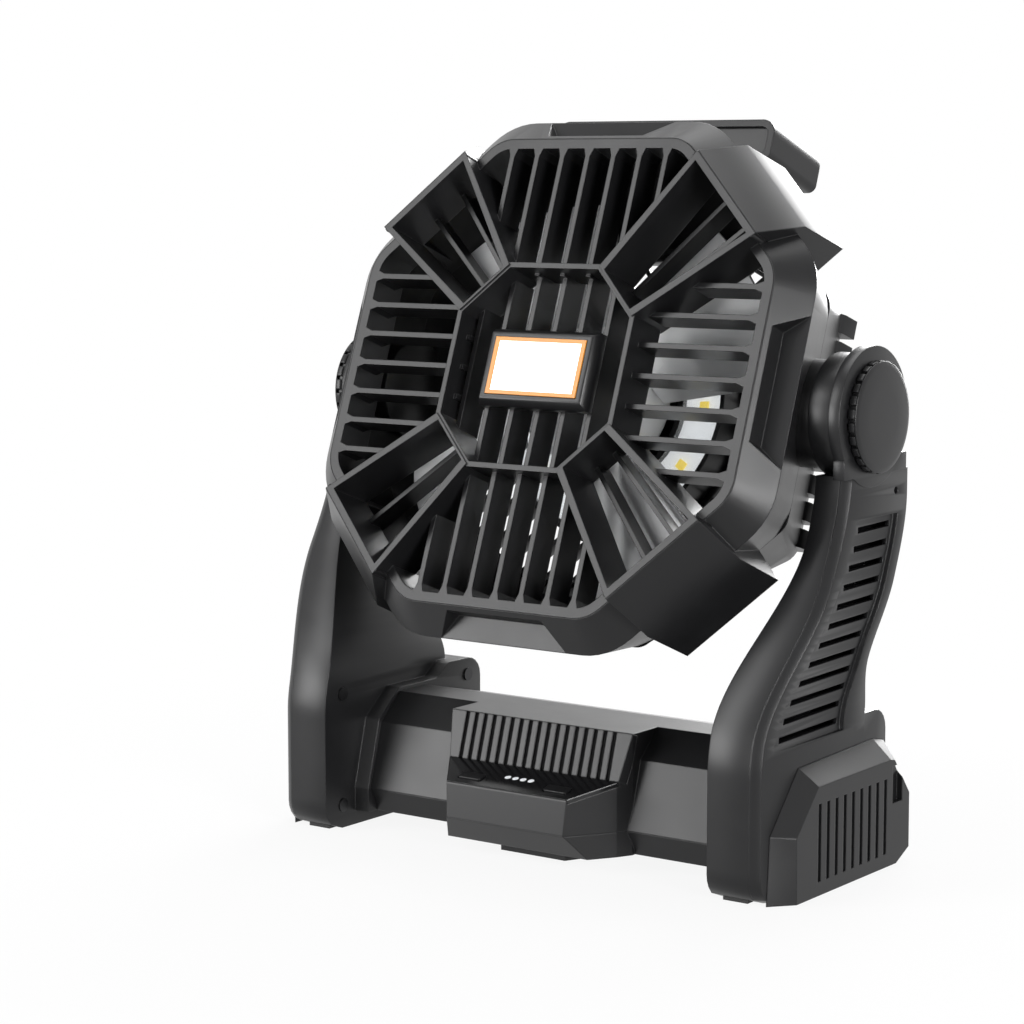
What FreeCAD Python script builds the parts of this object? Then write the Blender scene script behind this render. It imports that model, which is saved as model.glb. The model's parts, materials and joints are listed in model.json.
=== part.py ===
import FreeCAD, Part
import math
import os

# Portable camping fan: a tilting octagonal fan head between two curved arms,
# on a base bar with a battery, a control strip and a folding hanging hook.
# Lengths are in millimetres and angles in degrees. X runs to the right, Y to the
# back and Z up. The origin lies on the floor, under the tilt axis, in mid-width.

Vector = FreeCAD.Vector

# Stance of the head
pivot_height = 167.2
tilt_at_rest = 20.45

# Common wall, gap and fastener sizes
shell_wall = 2.4
moving_gap = 0.3
seam_gap = 0.15
running_clearance = 0.05
screw_head_radius = 2.6
screw_shank_radius = 1.5
screw_length = 8.0

# Head, measured from the tilt axis: half sizes across, and depth w towards the front
opening_half = 86.1
opening_diagonal = 89.0
opening_corner_radius = 12.0
strip_width = 3.7
strip_level = 38.4
crease_half = 100.0
crease_level = 24.0
split_half = 101.2
split_level = 0.0
bezel_wall = 3.0
facet_recess_depth = 2.0
facet_recess_length = 46.0
facet_recess_margin = 2.9

# Front grille
ring_half = 38.3
ring_side_half = 20.0
ring_wall = 2.0
ring_front = 44.4
ring_depth = 18.4
box_front = 45.0
box_depth = 21.0
box_wall = 2.7
box_outer_distance = 95.2
box_outer_half = 21.8
box_fin_count = 2
box_fin_thickness = 1.8
box_fin_front = 30.0
box_fin_depth = 9.0
bar_count = 7
bar_pitch = 11.47
bar_thickness = 2.0
bar_depth = 12.0
bar_foot_flare = 1.1
bar_foot_length = 3.0
grille_wall = 1.8
grille_wall_depth = 16.4
flange_thickness = 2.0
inner_bar_front = 36.0
inner_bar_depth = 12.0

# Corner blocks of the bezel, along the diagonal
block_crease_distance = 107.5
block_crease_level = 27.0
block_back_distance = 109.0
block_back_wall = 2.2

# Work light in the middle of the grille
light_width = 45.0
light_height = 25.6
light_front = 42.8
light_corner_radius = 1.2
trim_width = 40.2
trim_height = 21.8
trim_bar_across = 1.7
trim_bar_upright = 1.4
trim_proud = 0.3
lens_thickness = 1.9
lens_recess = 0.1
light_floor = 1.5
light_board_thickness = 1.6

# Rear shell and rear grille
rear_knee_level = -9.0
rear_knee_half = 100.0
rear_back_level = -32.0
rear_back_half = 84.0
rear_back_diagonal = 88.0
rear_rim_width = 8.0
rear_fin_thickness = 1.8
rear_fin_count = 9
rear_corner_fin_count = 4
rear_fin_reach = 97.5
rear_slat_thickness = 1.8
rear_slat_depth = 8.0
rear_slat_half_count = 6

# Motor, ring light and impeller
mount_radius = 47.9
mount_floor = 2.4
ring_light_outer = 46.2
ring_light_inner = 30.3
ring_light_level = -15.0
ring_board_thickness = 1.2
ring_chip_count = 10
ring_chip_size = 3.6
ring_chip_height = 0.8
ring_cover_thickness = 1.0
ring_cover_air = 0.8
motor_radius = 18.0
motor_boss_radius = 8.0
bearing_radius = 5.5
bearing_width = 3.0
shaft_radius = 2.5
hub_radius = 26.0
hub_front = 14.0
hub_back = -10.0
hub_wall = 2.2
hub_boss_radius = 6.0
blade_count = 4
blade_tip_radius = 79.0
blade_thickness = 1.8
blade_front = 17.0
blade_back = -3.5
blade_root_width = 25.0
blade_tip_width = 66.0
blade_camber = 3.5
blade_phase = 30.0
cap_radius = 7.0
cap_height = 3.6

# Box on top of the rear shell
top_box_half_width = 50.0
top_box_low = 98.5
top_box_high = 114.3
top_box_front = -6.0
top_box_back = -43.0
top_box_corner = 6.0
top_box_rim = 2.8
top_panel_recess = 1.4
top_panel_thickness = 1.6
top_neck_half_width = 34.0
top_neck_front = -10.0

# Pivot bosses, arms' hub discs, knobs and bolts
boss_radius = 19.5
boss_outer_half = 103.3
boss_neck_radius = 9.0
boss_inner_half = 89.0
bolt_radius = 4.0
bolt_inner_half = 93.0
bolt_head_radius = 7.0
bolt_head_gap = 0.14
bush_radius = 8.0
hub_disc_radius = 24.0
knob_radius = 22.47
knob_depth = 5.44
knob_chamfer = 1.0
knob_groove_outer = 19.0
knob_groove_depth = 1.9
knob_cap_sink = 0.4
knob_cap_edge = 0.3
knob_floor = 0.7
knob_tooth_count = 24
knob_tooth_width = 2.3
knob_cap_radius = 16.7
knob_cap_dome = 0.7

# Arms, seen from the side and from the front
arm_base_front = -58.0
arm_front_sweep = 42.4
arm_sweep_low = 45.0
arm_sweep_rise = 3.0
arm_base_inner = 86.1
arm_flare_inner_low = 58.0
arm_flare_inner_high = 125.0
arm_base_outer = 106.6
arm_flare_outer_low = 55.0
arm_flare_outer_high = 108.0
arm_top_outer = 116.0
arm_waist = 12.0
arm_waist_height = 80.0
arm_waist_foot = 58.0
arm_rear_foot = 18.0
arm_rear_top = 28.5
arm_rear_top_drop = 9.0
arm_shoulder_drop = 20.2
arm_crown_drop = 12.2
arm_crown_rear = 21.0
arm_band_width = 4.2
arm_band_depth = 3.0
arm_rear_bevel = 1.2
arm_toe_radius = 6.0
arm_cavity_low = 52.0
arm_cavity_drop = 9.0
arm_level_count = 24
slot_count = 11
slot_pitch = 6.65
slot_height = 3.3
slot_first_height = 56.7
slot_front_margin = 12.0
slot_rear_margin = 9.5
slot_low_extra = 9.0

# Ear and bracket that join the arms to the base bar
bracket_inner = 79.5
ear_rear = 33.0
ear_top = 57.2
ear_corner_radius = 8.0

# Foot blocks
foot_outer = 114.0
foot_groove_count = 9
foot_groove_pitch = 6.0
foot_groove_width = 2.2
foot_groove_depth = 1.2
foot_groove_low = 5.0
foot_groove_high = 33.0
foot_notch_depth = 2.4

# Base bar and its middle block
base_floor = 5.5
base_split = 14.8
base_top = 50.4
base_rear = 33.0
block_inset = 4.4
panel_thickness = 1.6
grip_thickness = 3.2
grip_rib_count = 18
grip_groove_width = 1.7
grip_groove_depth = 1.4
button_length = 10.0
button_width = 4.2
button_height = 3.0
button_proud = 0.6
button_gap = 0.3
button_offset = 19.3
button_from_edge = 5.5
button_corner = 0.8
dot_count = 4
dot_pitch = 3.47
dot_radius = 1.25
dot_from_edge = 9.0
dot_depth = 1.6

# Battery and boards inside the base
cell_radius = 9.2
cell_length = 65.0
cell_gap = 3.0
cell_row_pitch = 20.0
cell_row_middle = -4.0
tray_wall = 1.6
board_thickness = 1.6
usb_wall = 0.5

# Hanging hook
hook_pin_radius = 1.5
hook_pin_back = 17.0
hook_pin_height = 3.4
hook_barrel_radius = 2.8
hook_thickness = 3.6
hook_half_width = 32.5
hook_length = 62.0
hook_bar = 6.5
hook_side_gap = 0.5
hook_lug_width = 4.0
hook_lug_length = 9.0

# Rubber pads under the arms
pad_length = 16.0
pad_width = 10.0
pad_depth = 2.0
pad_front = -44.0
pad_rear = 18.0


def circle_point(radius, angle):
    """Point at a distance and an angle in degrees, as two numbers."""
    return radius * math.cos(math.radians(angle)), radius * math.sin(math.radians(angle))


def smooth_step(value, low, high):
    """Share from 0 to 1 that starts and ends level between low and high."""
    share = min(max((value - low) / (high - low), 0.0), 1.0)
    return share * share * (3.0 - 2.0 * share)


def closed_wire(points):
    """Closed wire through the points, with straight edges."""
    return Part.makePolygon(list(points) + [points[0]])


def rounded_wire(points, radii):
    """Closed wire through the points, with an arc at each point that has a radius."""
    edges = []
    starts = []
    ends = []
    middles = []
    count = len(points)
    for index in range(count):
        here = points[index]
        back = (points[index - 1] - here).normalize()
        ahead = (points[(index + 1) % count] - here).normalize()
        half_angle = back.getAngle(ahead) / 2.0
        reach = radii[index] / math.tan(half_angle)
        bisector = (back + ahead).normalize()
        centre = here + bisector * (radii[index] / math.sin(half_angle))
        starts.append(here + back * reach)
        ends.append(here + ahead * reach)
        middles.append(centre - bisector * radii[index])
    for index in range(count):
        if radii[index] > 0:
            edges.append(Part.Arc(starts[index], middles[index], ends[index]).toShape())
        edges.append(Part.makeLine(ends[index], starts[(index + 1) % count]))
    return Part.Wire(edges)


def prism(wire, direction):
    """Solid that a closed flat wire sweeps along a straight direction."""
    return Part.Face(wire).extrude(direction)


def box(low, high):
    """Box between two corners."""
    return Part.makeBox(high[0] - low[0], high[1] - low[1], high[2] - low[2], Vector(*low))


def tube_x(radius, start, end, y, z):
    """Cylinder along X."""
    return Part.makeCylinder(radius, end - start, Vector(start, y, z), Vector(1, 0, 0))


def disc(radius, low, high):
    """Cylinder along Z about the origin."""
    return Part.makeCylinder(radius, high - low, Vector(0, 0, low))


def ring(outer, inner, low, high):
    """Flat ring about the Z axis."""
    return disc(outer, low, high).cut(disc(inner, low, high))


def turned(points):
    """Solid of revolution about Z from points given as radius and height."""
    wire = closed_wire([Vector(radius, 0, height) for radius, height in points])
    return Part.Face(wire).revolve(Vector(0, 0, 0), Vector(0, 0, 1), 360)


def inset(points, distance):
    """Flat polygon, given anticlockwise, with every side moved inwards."""
    count = len(points)
    moved = []
    for index in range(count):
        before = points[index - 1]
        here = points[index]
        after = points[(index + 1) % count]
        first = (Vector(*here) - Vector(*before)).normalize()
        second = (Vector(*after) - Vector(*here)).normalize()
        first_side = Vector(-first.y, first.x, 0)
        second_side = Vector(-second.y, second.x, 0)
        shift = (first_side + second_side) * (distance / (1.0 + first_side.dot(second_side)))
        moved.append((here[0] + shift.x, here[1] + shift.y))
    return moved


def side_prism(points, x_low, x_high):
    """Solid along X from an outline given as Y and Z."""
    wire = closed_wire([Vector(x_low, y, z) for y, z in points])
    return prism(wire, Vector(x_high - x_low, 0, 0))


def plan_prism(points, z_low, z_high):
    """Solid along Z from an outline given as X and Y."""
    wire = closed_wire([Vector(x, y, z_low) for x, y in points])
    return prism(wire, Vector(0, 0, z_high - z_low))


def fuse_all(shapes):
    """One clean solid from several that touch or overlap."""
    return shapes[0].multiFuse(shapes[1:]).removeSplitter()


def mirrored(shape):
    """The same shape on the other side of the middle plane."""
    return shape.mirror(Vector(0, 0, 0), Vector(1, 0, 0))


def turned_copies(shape, count, first_angle=0.0):
    """Copies of a shape, spread evenly about the Z axis."""
    copies = []
    for index in range(count):
        copy = shape.copy()
        copy.rotate(Vector(0, 0, 0), Vector(0, 0, 1), first_angle + index * 360.0 / count)
        copies.append(copy)
    return copies


def head_matrix():
    """Turns head coordinates (right, up the face, to the front) into the frame of the fan."""
    turn = FreeCAD.Rotation(Vector(1, 0, 0), 90.0 - tilt_at_rest)
    return FreeCAD.Placement(Vector(0, 0, pivot_height), turn).toMatrix()


def save(name, shape, in_head=False):
    """Writes one sub-part, moved to its place at rest."""
    placed = shape.transformed(head_matrix(), True) if in_head else shape
    placed.exportStep("parts/" + name + ".step")


# Octagonal outlines of the head

def octagon_points(half, diagonal, level):
    """Corners of an octagon from its half size and its distance along the diagonals."""
    short = diagonal * math.sqrt(2.0) - half
    flat = [(half, short), (short, half), (-short, half), (-half, short)]
    flat = flat + [(-x, -y) for x, y in flat]
    return [Vector(x, y, level) for x, y in flat]


def octagon_wire(half, diagonal, radius, level):
    return rounded_wire(octagon_points(half, diagonal, level), [radius] * 8)


def octagon_prism(half, diagonal, radius, low, high):
    wire = octagon_wire(half, diagonal, radius, low)
    return prism(wire, Vector(0, 0, high - low))


def octagon_loft(sections):
    """Solid through rounded octagons given as half size, diagonal, radius and level."""
    wires = [octagon_wire(*section) for section in sections]
    return Part.makeLoft(wires, True, True)


def grown_octagon(growth, level):
    """The grille opening's outline, moved outwards by a distance."""
    return (opening_half + growth, opening_diagonal + growth, opening_corner_radius + growth, level)


strip_growth = strip_width + seam_gap
crease_growth = crease_half - opening_half
split_growth = split_half - opening_half
knee_growth = rear_knee_half - opening_half
rear_corner_radius = opening_corner_radius + knee_growth
rear_opening_half = rear_back_half - rear_rim_width
rear_opening_diagonal = rear_back_diagonal - rear_rim_width
block_half_width = box_outer_half


def bezel_form():
    """Flared octagonal frame, before it is hollowed."""
    sections = [grown_octagon(split_growth, split_level), grown_octagon(crease_growth, crease_level)]
    sections.append(grown_octagon(strip_growth, strip_level))
    return octagon_loft(sections)


def bezel_hollow():
    """Inside of the flared frame."""
    seat = strip_level - flange_thickness
    seat_growth = grille_wall + seam_gap
    sections = [grown_octagon(split_growth - bezel_wall, split_level)]
    sections.append(grown_octagon(crease_growth - bezel_wall, crease_level - bezel_wall / 2.0))
    sections.append(grown_octagon(seat_growth, seat))
    opening = octagon_prism(*grown_octagon(strip_growth, seat)[:3], seat, box_front + 1.0)
    return octagon_loft(sections).fuse(opening)


def along_diagonal(points, half_width):
    """Solid across one diagonal, from an outline given as distance and level, on all four corners."""
    wire = closed_wire([Vector(distance, -half_width, level) for distance, level in points])
    return turned_copies(prism(wire, Vector(0, 2.0 * half_width, 0)), 4, 45.0)


def corner_block_forms():
    """Blocks that stand proud of the frame on the four diagonals."""
    inner = opening_diagonal * 0.7
    outline = [(inner, split_level), (block_back_distance, split_level)]
    outline.append((block_crease_distance, block_crease_level))
    outline.append((box_outer_distance + seam_gap, box_front))
    outline.append((inner, box_front))
    return along_diagonal(outline, block_half_width)


def corner_block_hollows():
    """Insides of the corner blocks, open to the fan chamber."""
    inner = opening_diagonal * 0.7 - 1.0
    outline = [(inner, split_level + block_back_wall)]
    outline.append((block_back_distance - bezel_wall, split_level + block_back_wall))
    outline.append((block_crease_distance - bezel_wall, block_crease_level - bezel_wall / 2.0))
    outline.append((box_outer_distance - bezel_wall, box_front - bezel_wall))
    outline.append((inner, box_front - bezel_wall))
    return along_diagonal(outline, block_half_width - bezel_wall)


def box_outline(growth, level):
    """Outline of a grille box, which widens outwards along the first axis."""
    start = (ring_half + ring_side_half) / math.sqrt(2.0)
    start_half = (ring_half - ring_side_half) / math.sqrt(2.0)
    points = [(start, -start_half - growth), (box_outer_distance + growth, -box_outer_half - growth)]
    points = points + [(x, -y) for x, y in reversed(points)]
    return [Vector(x, y, level) for x, y in points]


def grille_box_spaces(low, high, growth):
    """Spaces taken by the four grille boxes."""
    solid = prism(closed_wire(box_outline(growth, low)), Vector(0, 0, high - low))
    return turned_copies(solid, 4, 45.0)


def facet_recesses():
    """Shallow slots in the four long facets of the bezel."""
    run = Vector(crease_half - opening_half - strip_growth, 0, crease_level - strip_level).normalize()
    out = Vector(-run.z, 0, run.x)
    top = Vector(opening_half + strip_growth, 0, strip_level) + run * facet_recess_margin
    facet_length = math.hypot(crease_half - opening_half - strip_growth, strip_level - crease_level)
    end = top + run * (facet_length + facet_recess_margin)
    corners = [top + out * 4.0, top - out * facet_recess_depth]
    corners = corners + [end - out * facet_recess_depth, end + out * 4.0]
    shift = Vector(0, -facet_recess_length / 2.0, 0)
    wire = closed_wire([corner + shift for corner in corners])
    return turned_copies(prism(wire, Vector(0, facet_recess_length, 0)), 4)


def pivot_holes(radius):
    """Holes through both side walls, round the tilt axis."""
    reach = split_half + 10.0
    return tube_x(radius, -reach, reach, 0, split_level)


def front_bezel():
    form = fuse_all([bezel_form()] + corner_block_forms())
    cutters = [bezel_hollow()] + corner_block_hollows() + facet_recesses()
    cutters = cutters + grille_box_spaces(box_front - box_depth, box_front + 1.0, seam_gap)
    cutters.append(pivot_holes(boss_neck_radius + seam_gap))
    return form.cut(cutters)


def radial_bars():
    """Parallel bars of the four long sections, between the middle ring or a box and the rim."""
    bars = []
    slope = (box_corner_far() - ring_half) / (box_corner_near() - ring_side_half)
    low = strip_level - bar_depth
    end = opening_half + grille_wall / 2.0
    for index in range(bar_count):
        middle = (index - (bar_count - 1) / 2.0) * bar_pitch
        beyond = max(abs(middle) - ring_side_half, 0.0)
        start = ring_half + beyond * slope - bar_thickness
        half = bar_thickness / 2.0
        wide = half + bar_foot_flare
        outline = [(start, -half), (opening_half - bar_foot_length, -half), (opening_half, -wide), (end, -wide)]
        outline = outline + [(x, -y) for x, y in reversed(outline)]
        wire = closed_wire([Vector(x, middle + y, low) for x, y in outline])
        bars = bars + turned_copies(prism(wire, Vector(0, 0, bar_depth)), 4)
    return bars


def box_corner_far():
    """Larger coordinate of a grille box's outer corner."""
    return (box_outer_distance + box_outer_half) / math.sqrt(2.0)


def box_corner_near():
    """Smaller coordinate of a grille box's outer corner."""
    return (box_outer_distance - box_outer_half) / math.sqrt(2.0)


def inner_bars():
    """Upright bars across the middle ring, behind the light."""
    bars = []
    low = inner_bar_front - inner_bar_depth
    for index in range(bar_count):
        middle = (index - (bar_count - 1) / 2.0) * bar_pitch
        reach = min(ring_half, ring_half + ring_side_half - abs(middle))
        corner = (middle - bar_thickness / 2.0, -reach, low)
        bars.append(box(corner, (middle + bar_thickness / 2.0, reach, inner_bar_front)))
    return bars


def box_walls():
    """Straight-sided boxes on the diagonals, with their sunk fins."""
    low = box_front - box_depth
    start = (ring_half + ring_side_half) / math.sqrt(2.0)
    start_half = (ring_half - ring_side_half) / math.sqrt(2.0)
    outer = prism(closed_wire(box_outline(0.0, low)), Vector(0, 0, box_depth))
    hole = [(start + ring_wall / 2.0, -start_half + box_wall)]
    hole.append((box_outer_distance - box_wall, -box_outer_half + box_wall))
    hole = hole + [(x, -y) for x, y in reversed(hole)]
    wall = outer.cut(plan_prism(hole, low, box_front))
    pieces = [wall]
    fin_low = box_fin_front - box_fin_depth
    for index in range(box_fin_count):
        share = 2.0 * (index + 1) / (box_fin_count + 1) - 1.0
        root = share * start_half
        tip = share * box_outer_half
        half = box_fin_thickness / 2.0
        outline = [(start, root - half), (box_outer_distance - box_wall / 2.0, tip - half)]
        outline = outline + [(box_outer_distance - box_wall / 2.0, tip + half), (start, root + half)]
        pieces.append(plan_prism(outline, fin_low, box_fin_front))
    return turned_copies(fuse_all(pieces), 4, 45.0)


def ring_outline(growth):
    """Half size and diagonal of the middle ring's centre line, moved outwards."""
    diagonal = (ring_half + ring_side_half) / math.sqrt(2.0)
    return ring_half + growth, diagonal + growth


def front_grille():
    """The guard that takes the most skill: middle ring, boxes, bars and rim in one moulding."""
    low = ring_front - ring_depth
    half, diagonal = ring_outline(ring_wall / 2.0)
    outer = prism(closed_wire(octagon_points(half, diagonal, low)), Vector(0, 0, ring_depth))
    half, diagonal = ring_outline(-ring_wall / 2.0)
    inner = prism(closed_wire(octagon_points(half, diagonal, low)), Vector(0, 0, ring_depth))
    middle = outer.cut(inner)
    wall_low = strip_level - grille_wall_depth
    rim = octagon_prism(*grown_octagon(grille_wall, 0)[:3], wall_low, strip_level)
    flange_low = strip_level - flange_thickness
    flange = octagon_prism(*grown_octagon(strip_width, 0)[:3], flange_low, strip_level)
    opening = octagon_prism(*grown_octagon(0, 0)[:3], wall_low, strip_level)
    rim = rim.fuse(flange).cut([opening] + grille_box_spaces(wall_low, strip_level, 0.0))
    return fuse_all([middle, rim] + box_walls() + radial_bars() + inner_bars())


# Work light

def centred_box(width, height, low, high, radius=0.0):
    """Block about the head's middle, with upright edges rounded."""
    corners = [(width, -height), (width, height), (-width, height), (-width, -height)]
    points = [Vector(x / 2.0, y / 2.0, low) for x, y in corners]
    return prism(rounded_wire(points, [radius] * 4), Vector(0, 0, high - low))


def light_housing():
    body = centred_box(light_width, light_height, inner_bar_front, light_front, light_corner_radius)
    pocket_low = inner_bar_front + light_floor
    return body.cut(centred_box(trim_width, trim_height, pocket_low, light_front))


def light_trim():
    low = light_front - lens_thickness - lens_recess
    body = centred_box(trim_width, trim_height, low, light_front + trim_proud)
    window = centred_box(lens_width(), lens_height(), low, light_front + trim_proud)
    return body.cut(window)


def lens_width():
    return trim_width - 2.0 * trim_bar_across


def lens_height():
    return trim_height - 2.0 * trim_bar_upright


def light_lens():
    top = light_front - lens_recess
    return centred_box(lens_width(), lens_height(), top - lens_thickness, top)


def light_board():
    low = inner_bar_front + light_floor
    top = light_front - lens_recess - lens_thickness
    board = centred_box(trim_width, trim_height, low, low + light_board_thickness)
    frame = centred_box(trim_width, trim_height, low, top)
    frame = frame.cut(centred_box(lens_width() - 1.0, lens_height() - 1.0, low, top))
    return board.fuse(frame).removeSplitter()


# Rear shell, its grille and the box on top

def rear_form():
    back = (rear_back_half, rear_back_diagonal, rear_corner_radius, rear_back_level)
    sections = [back, grown_octagon(knee_growth, rear_knee_level), grown_octagon(split_growth, split_level)]
    return octagon_loft(sections)


def rear_hollow():
    floor = rear_back_level + shell_wall
    back = (rear_back_half - shell_wall, rear_back_diagonal - shell_wall)
    sections = [(back[0], back[1], rear_corner_radius - shell_wall, floor)]
    sections.append(grown_octagon(knee_growth - shell_wall, rear_knee_level))
    sections.append(grown_octagon(split_growth - shell_wall, split_level))
    return octagon_loft(sections)


def rear_fins():
    """Plates that stand out of the sloping rear wall, square to each side."""
    fins = []
    half = rear_fin_thickness / 2.0
    low = rear_back_level + 1.0
    top = rear_knee_level - 1.0
    side = [(rear_back_half - 1.0, low), (rear_fin_reach, low), (rear_knee_half - 1.5, top)]
    step = 2.0 * opening_half * 0.9 / (rear_fin_count + 1)
    for index in range(rear_fin_count):
        middle = (index - (rear_fin_count - 1) / 2.0) * step * 0.6
        wire = closed_wire([Vector(x, middle - half, level) for x, level in side])
        fins = fins + turned_copies(prism(wire, Vector(0, rear_fin_thickness, 0)), 4)
    corner_shift = opening_diagonal - opening_half
    corner = [(rear_back_diagonal - 1.0, low), (rear_fin_reach + corner_shift, low)]
    corner.append((rear_knee_half + corner_shift - 1.5, top))
    corner_step = 2.0 * box_outer_half / (rear_corner_fin_count + 1)
    for index in range(rear_corner_fin_count):
        middle = (index - (rear_corner_fin_count - 1) / 2.0) * corner_step
        wire = closed_wire([Vector(x, middle - half, level) for x, level in corner])
        fins = fins + turned_copies(prism(wire, Vector(0, rear_fin_thickness, 0)), 4, 45.0)
    return fins


def top_neck():
    """Stem under the box on top."""
    low = (-top_neck_half_width, rear_back_half - shell_wall - 1.0, rear_back_level)
    return box(low, (top_neck_half_width, top_box_low, top_neck_front))


def boss_rooms():
    """Round spaces for the pivot bosses on both sides."""
    room = tube_x(boss_radius + seam_gap, boss_inner_half, boss_outer_half, 0, split_level)
    return [room, mirrored(room)]


def head_screw_places():
    """Screws at the four rear corners, on the diagonals."""
    distance = (rear_back_diagonal + rear_opening_diagonal) / 2.0
    return [circle_point(distance, 45.0 + 90.0 * index) for index in range(4)]


def head_screws():
    screws = []
    for x, y in head_screw_places():
        low = rear_back_level - 0.8
        head = Part.makeCylinder(screw_head_radius, 0.8, Vector(x, y, low))
        shank = Part.makeCylinder(screw_shank_radius, screw_length, Vector(x, y, rear_back_level))
        screws.append(head.fuse(shank).removeSplitter())
    return Part.makeCompound(screws)


def rear_shell():
    posts = []
    for x, y in head_screw_places():
        top = rear_back_level + shell_wall + screw_length
        posts.append(Part.makeCylinder(screw_head_radius, top - rear_back_level, Vector(x, y, rear_back_level)))
    opening = octagon_prism(rear_opening_half, rear_opening_diagonal, rear_corner_radius,
                            rear_back_level - 1.0, rear_back_level + shell_wall)
    body = fuse_all([rear_form(), top_neck()] + [fin.cut(boss_rooms()) for fin in rear_fins()])
    body = body.cut([rear_hollow(), opening])
    body = fuse_all([body] + posts)
    return body.cut([pivot_holes(boss_neck_radius + seam_gap), head_screws()])


def rear_grille():
    """Crossed slats that fill the rear opening, round a hub ring."""
    low = rear_back_level
    high = low + rear_slat_depth
    frame = octagon_prism(rear_opening_half, rear_opening_diagonal, rear_corner_radius, low, low + shell_wall)
    lip = octagon_prism(rear_opening_half - 0.2, rear_opening_diagonal - 0.2, rear_corner_radius, low, high)
    inner = octagon_prism(rear_opening_half - grille_wall, rear_opening_diagonal - grille_wall,
                          rear_corner_radius - grille_wall, low, high)
    slats = []
    half = rear_slat_thickness / 2.0
    reach = rear_opening_half - grille_wall / 2.0
    for index in range(-rear_slat_half_count, rear_slat_half_count + 1):
        middle = index * bar_pitch
        slats.append(box((middle - half, -reach, low), (middle + half, reach, high)))
        slats.append(box((-reach, middle - half, low), (reach, middle + half, high)))
    clip = octagon_prism(rear_opening_half - 0.3, rear_opening_diagonal - 0.3, rear_corner_radius, low, high)
    mesh = fuse_all(slats).common(clip).cut(disc(mount_radius + 1.0, low, high))
    hub = ring(mount_radius + 2.6, mount_radius + seam_gap, low, high)
    return fuse_all([frame.fuse(lip).cut(inner), mesh, hub])


def top_box_outline(margin, level):
    """Outline of the box on top, with the same margin all round."""
    wide = top_box_half_width - margin
    low = top_box_low + margin
    high = top_box_high - margin
    points = [Vector(x, y, level) for x, y in ((wide, low), (wide, high), (-wide, high), (-wide, low))]
    corner = top_box_corner - margin
    return rounded_wire(points, [corner / 2.0, corner, corner, corner / 2.0])


def top_box():
    body = prism(top_box_outline(0.0, top_box_back), Vector(0, 0, top_box_front - top_box_back))
    floor = top_box_back + shell_wall
    hollow = prism(top_box_outline(top_box_rim, floor), Vector(0, 0, top_box_front - floor))
    return body.cut([hollow, rear_form()])


def top_box_panel():
    low = top_box_front - top_panel_recess - top_panel_thickness
    panel = prism(top_box_outline(top_box_rim, low), Vector(0, 0, top_panel_thickness))
    return panel.cut(rear_form())


# Motor, ring light and impeller

def motor_mount():
    """Bowl at the back that carries the motor and the ring light."""
    floor = rear_back_level + mount_floor
    seat = ring_light_level - ring_board_thickness
    rim = ring_light_level + ring_chip_height + ring_cover_air + ring_cover_thickness
    outline = [(0, rear_back_level), (mount_radius, rear_back_level), (mount_radius, rim)]
    outline = outline + [(ring_light_outer, rim), (ring_light_outer, seat)]
    outline = outline + [(ring_light_inner, seat), (ring_light_inner, rim)]
    outline = outline + [(ring_light_inner - shell_wall, rim), (ring_light_inner - shell_wall, floor), (0, floor)]
    return turned(outline)


def ring_light_board():
    return ring(ring_light_outer, ring_light_inner, ring_light_level - ring_board_thickness, ring_light_level)


def ring_light_chips():
    middle = (ring_light_outer + ring_light_inner) / 2.0
    half = ring_chip_size / 2.0
    chip = box((middle - half, -half, ring_light_level), (middle + half, half, ring_light_level + ring_chip_height))
    return Part.makeCompound(turned_copies(chip, ring_chip_count, 6.0))


def ring_light_cover():
    low = ring_light_level + ring_chip_height + ring_cover_air
    return ring(ring_light_outer, ring_light_inner, low, low + ring_cover_thickness)


def motor_front():
    return hub_back - 1.0


def motor_housing():
    """Motor can with a bearing seat at each end."""
    floor = rear_back_level + mount_floor
    front = motor_front()
    seat = floor + 1.0
    outline = [(shaft_radius + 1.0, floor), (motor_radius, floor), (motor_radius, front)]
    outline = outline + [(motor_boss_radius, front), (motor_boss_radius, front + bearing_width)]
    outline = outline + [(bearing_radius, front + bearing_width), (bearing_radius, front)]
    outline = outline + [(shaft_radius + 1.0, front), (shaft_radius + 1.0, seat + bearing_width)]
    outline = outline + [(bearing_radius, seat + bearing_width), (bearing_radius, seat)]
    outline.append((shaft_radius + 1.0, seat))
    return turned(outline)


def motor_bearing(low):
    return ring(bearing_radius, shaft_radius + running_clearance, low, low + bearing_width)


def motor_shaft():
    low = rear_back_level + mount_floor + 0.6
    return disc(shaft_radius, low, hub_front + 1.0)


def blade_section(distance, width):
    """Thin curved section of a blade, on a plane at a distance from the shaft."""
    middle = (blade_front + blade_back) / 2.0
    half_rise = (blade_front - blade_back) / 2.0
    slope = math.atan2(2.0 * half_rise, width)
    lift = Vector(0, -math.sin(slope), math.cos(slope))
    half = lift * (blade_thickness / 2.0)
    low = Vector(distance, -width / 2.0, middle - half_rise)
    high = Vector(distance, width / 2.0, middle + half_rise)
    crown = Vector(distance, 0, middle) + lift * blade_camber
    upper = Part.Arc(low + half, crown + half, high + half).toShape()
    lower = Part.Arc(high - half, crown - half, low - half).toShape()
    trailing = Part.makeLine(high + half, high - half)
    leading = Part.makeLine(low - half, low + half)
    return Part.Wire([upper, trailing, lower, leading])


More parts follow.
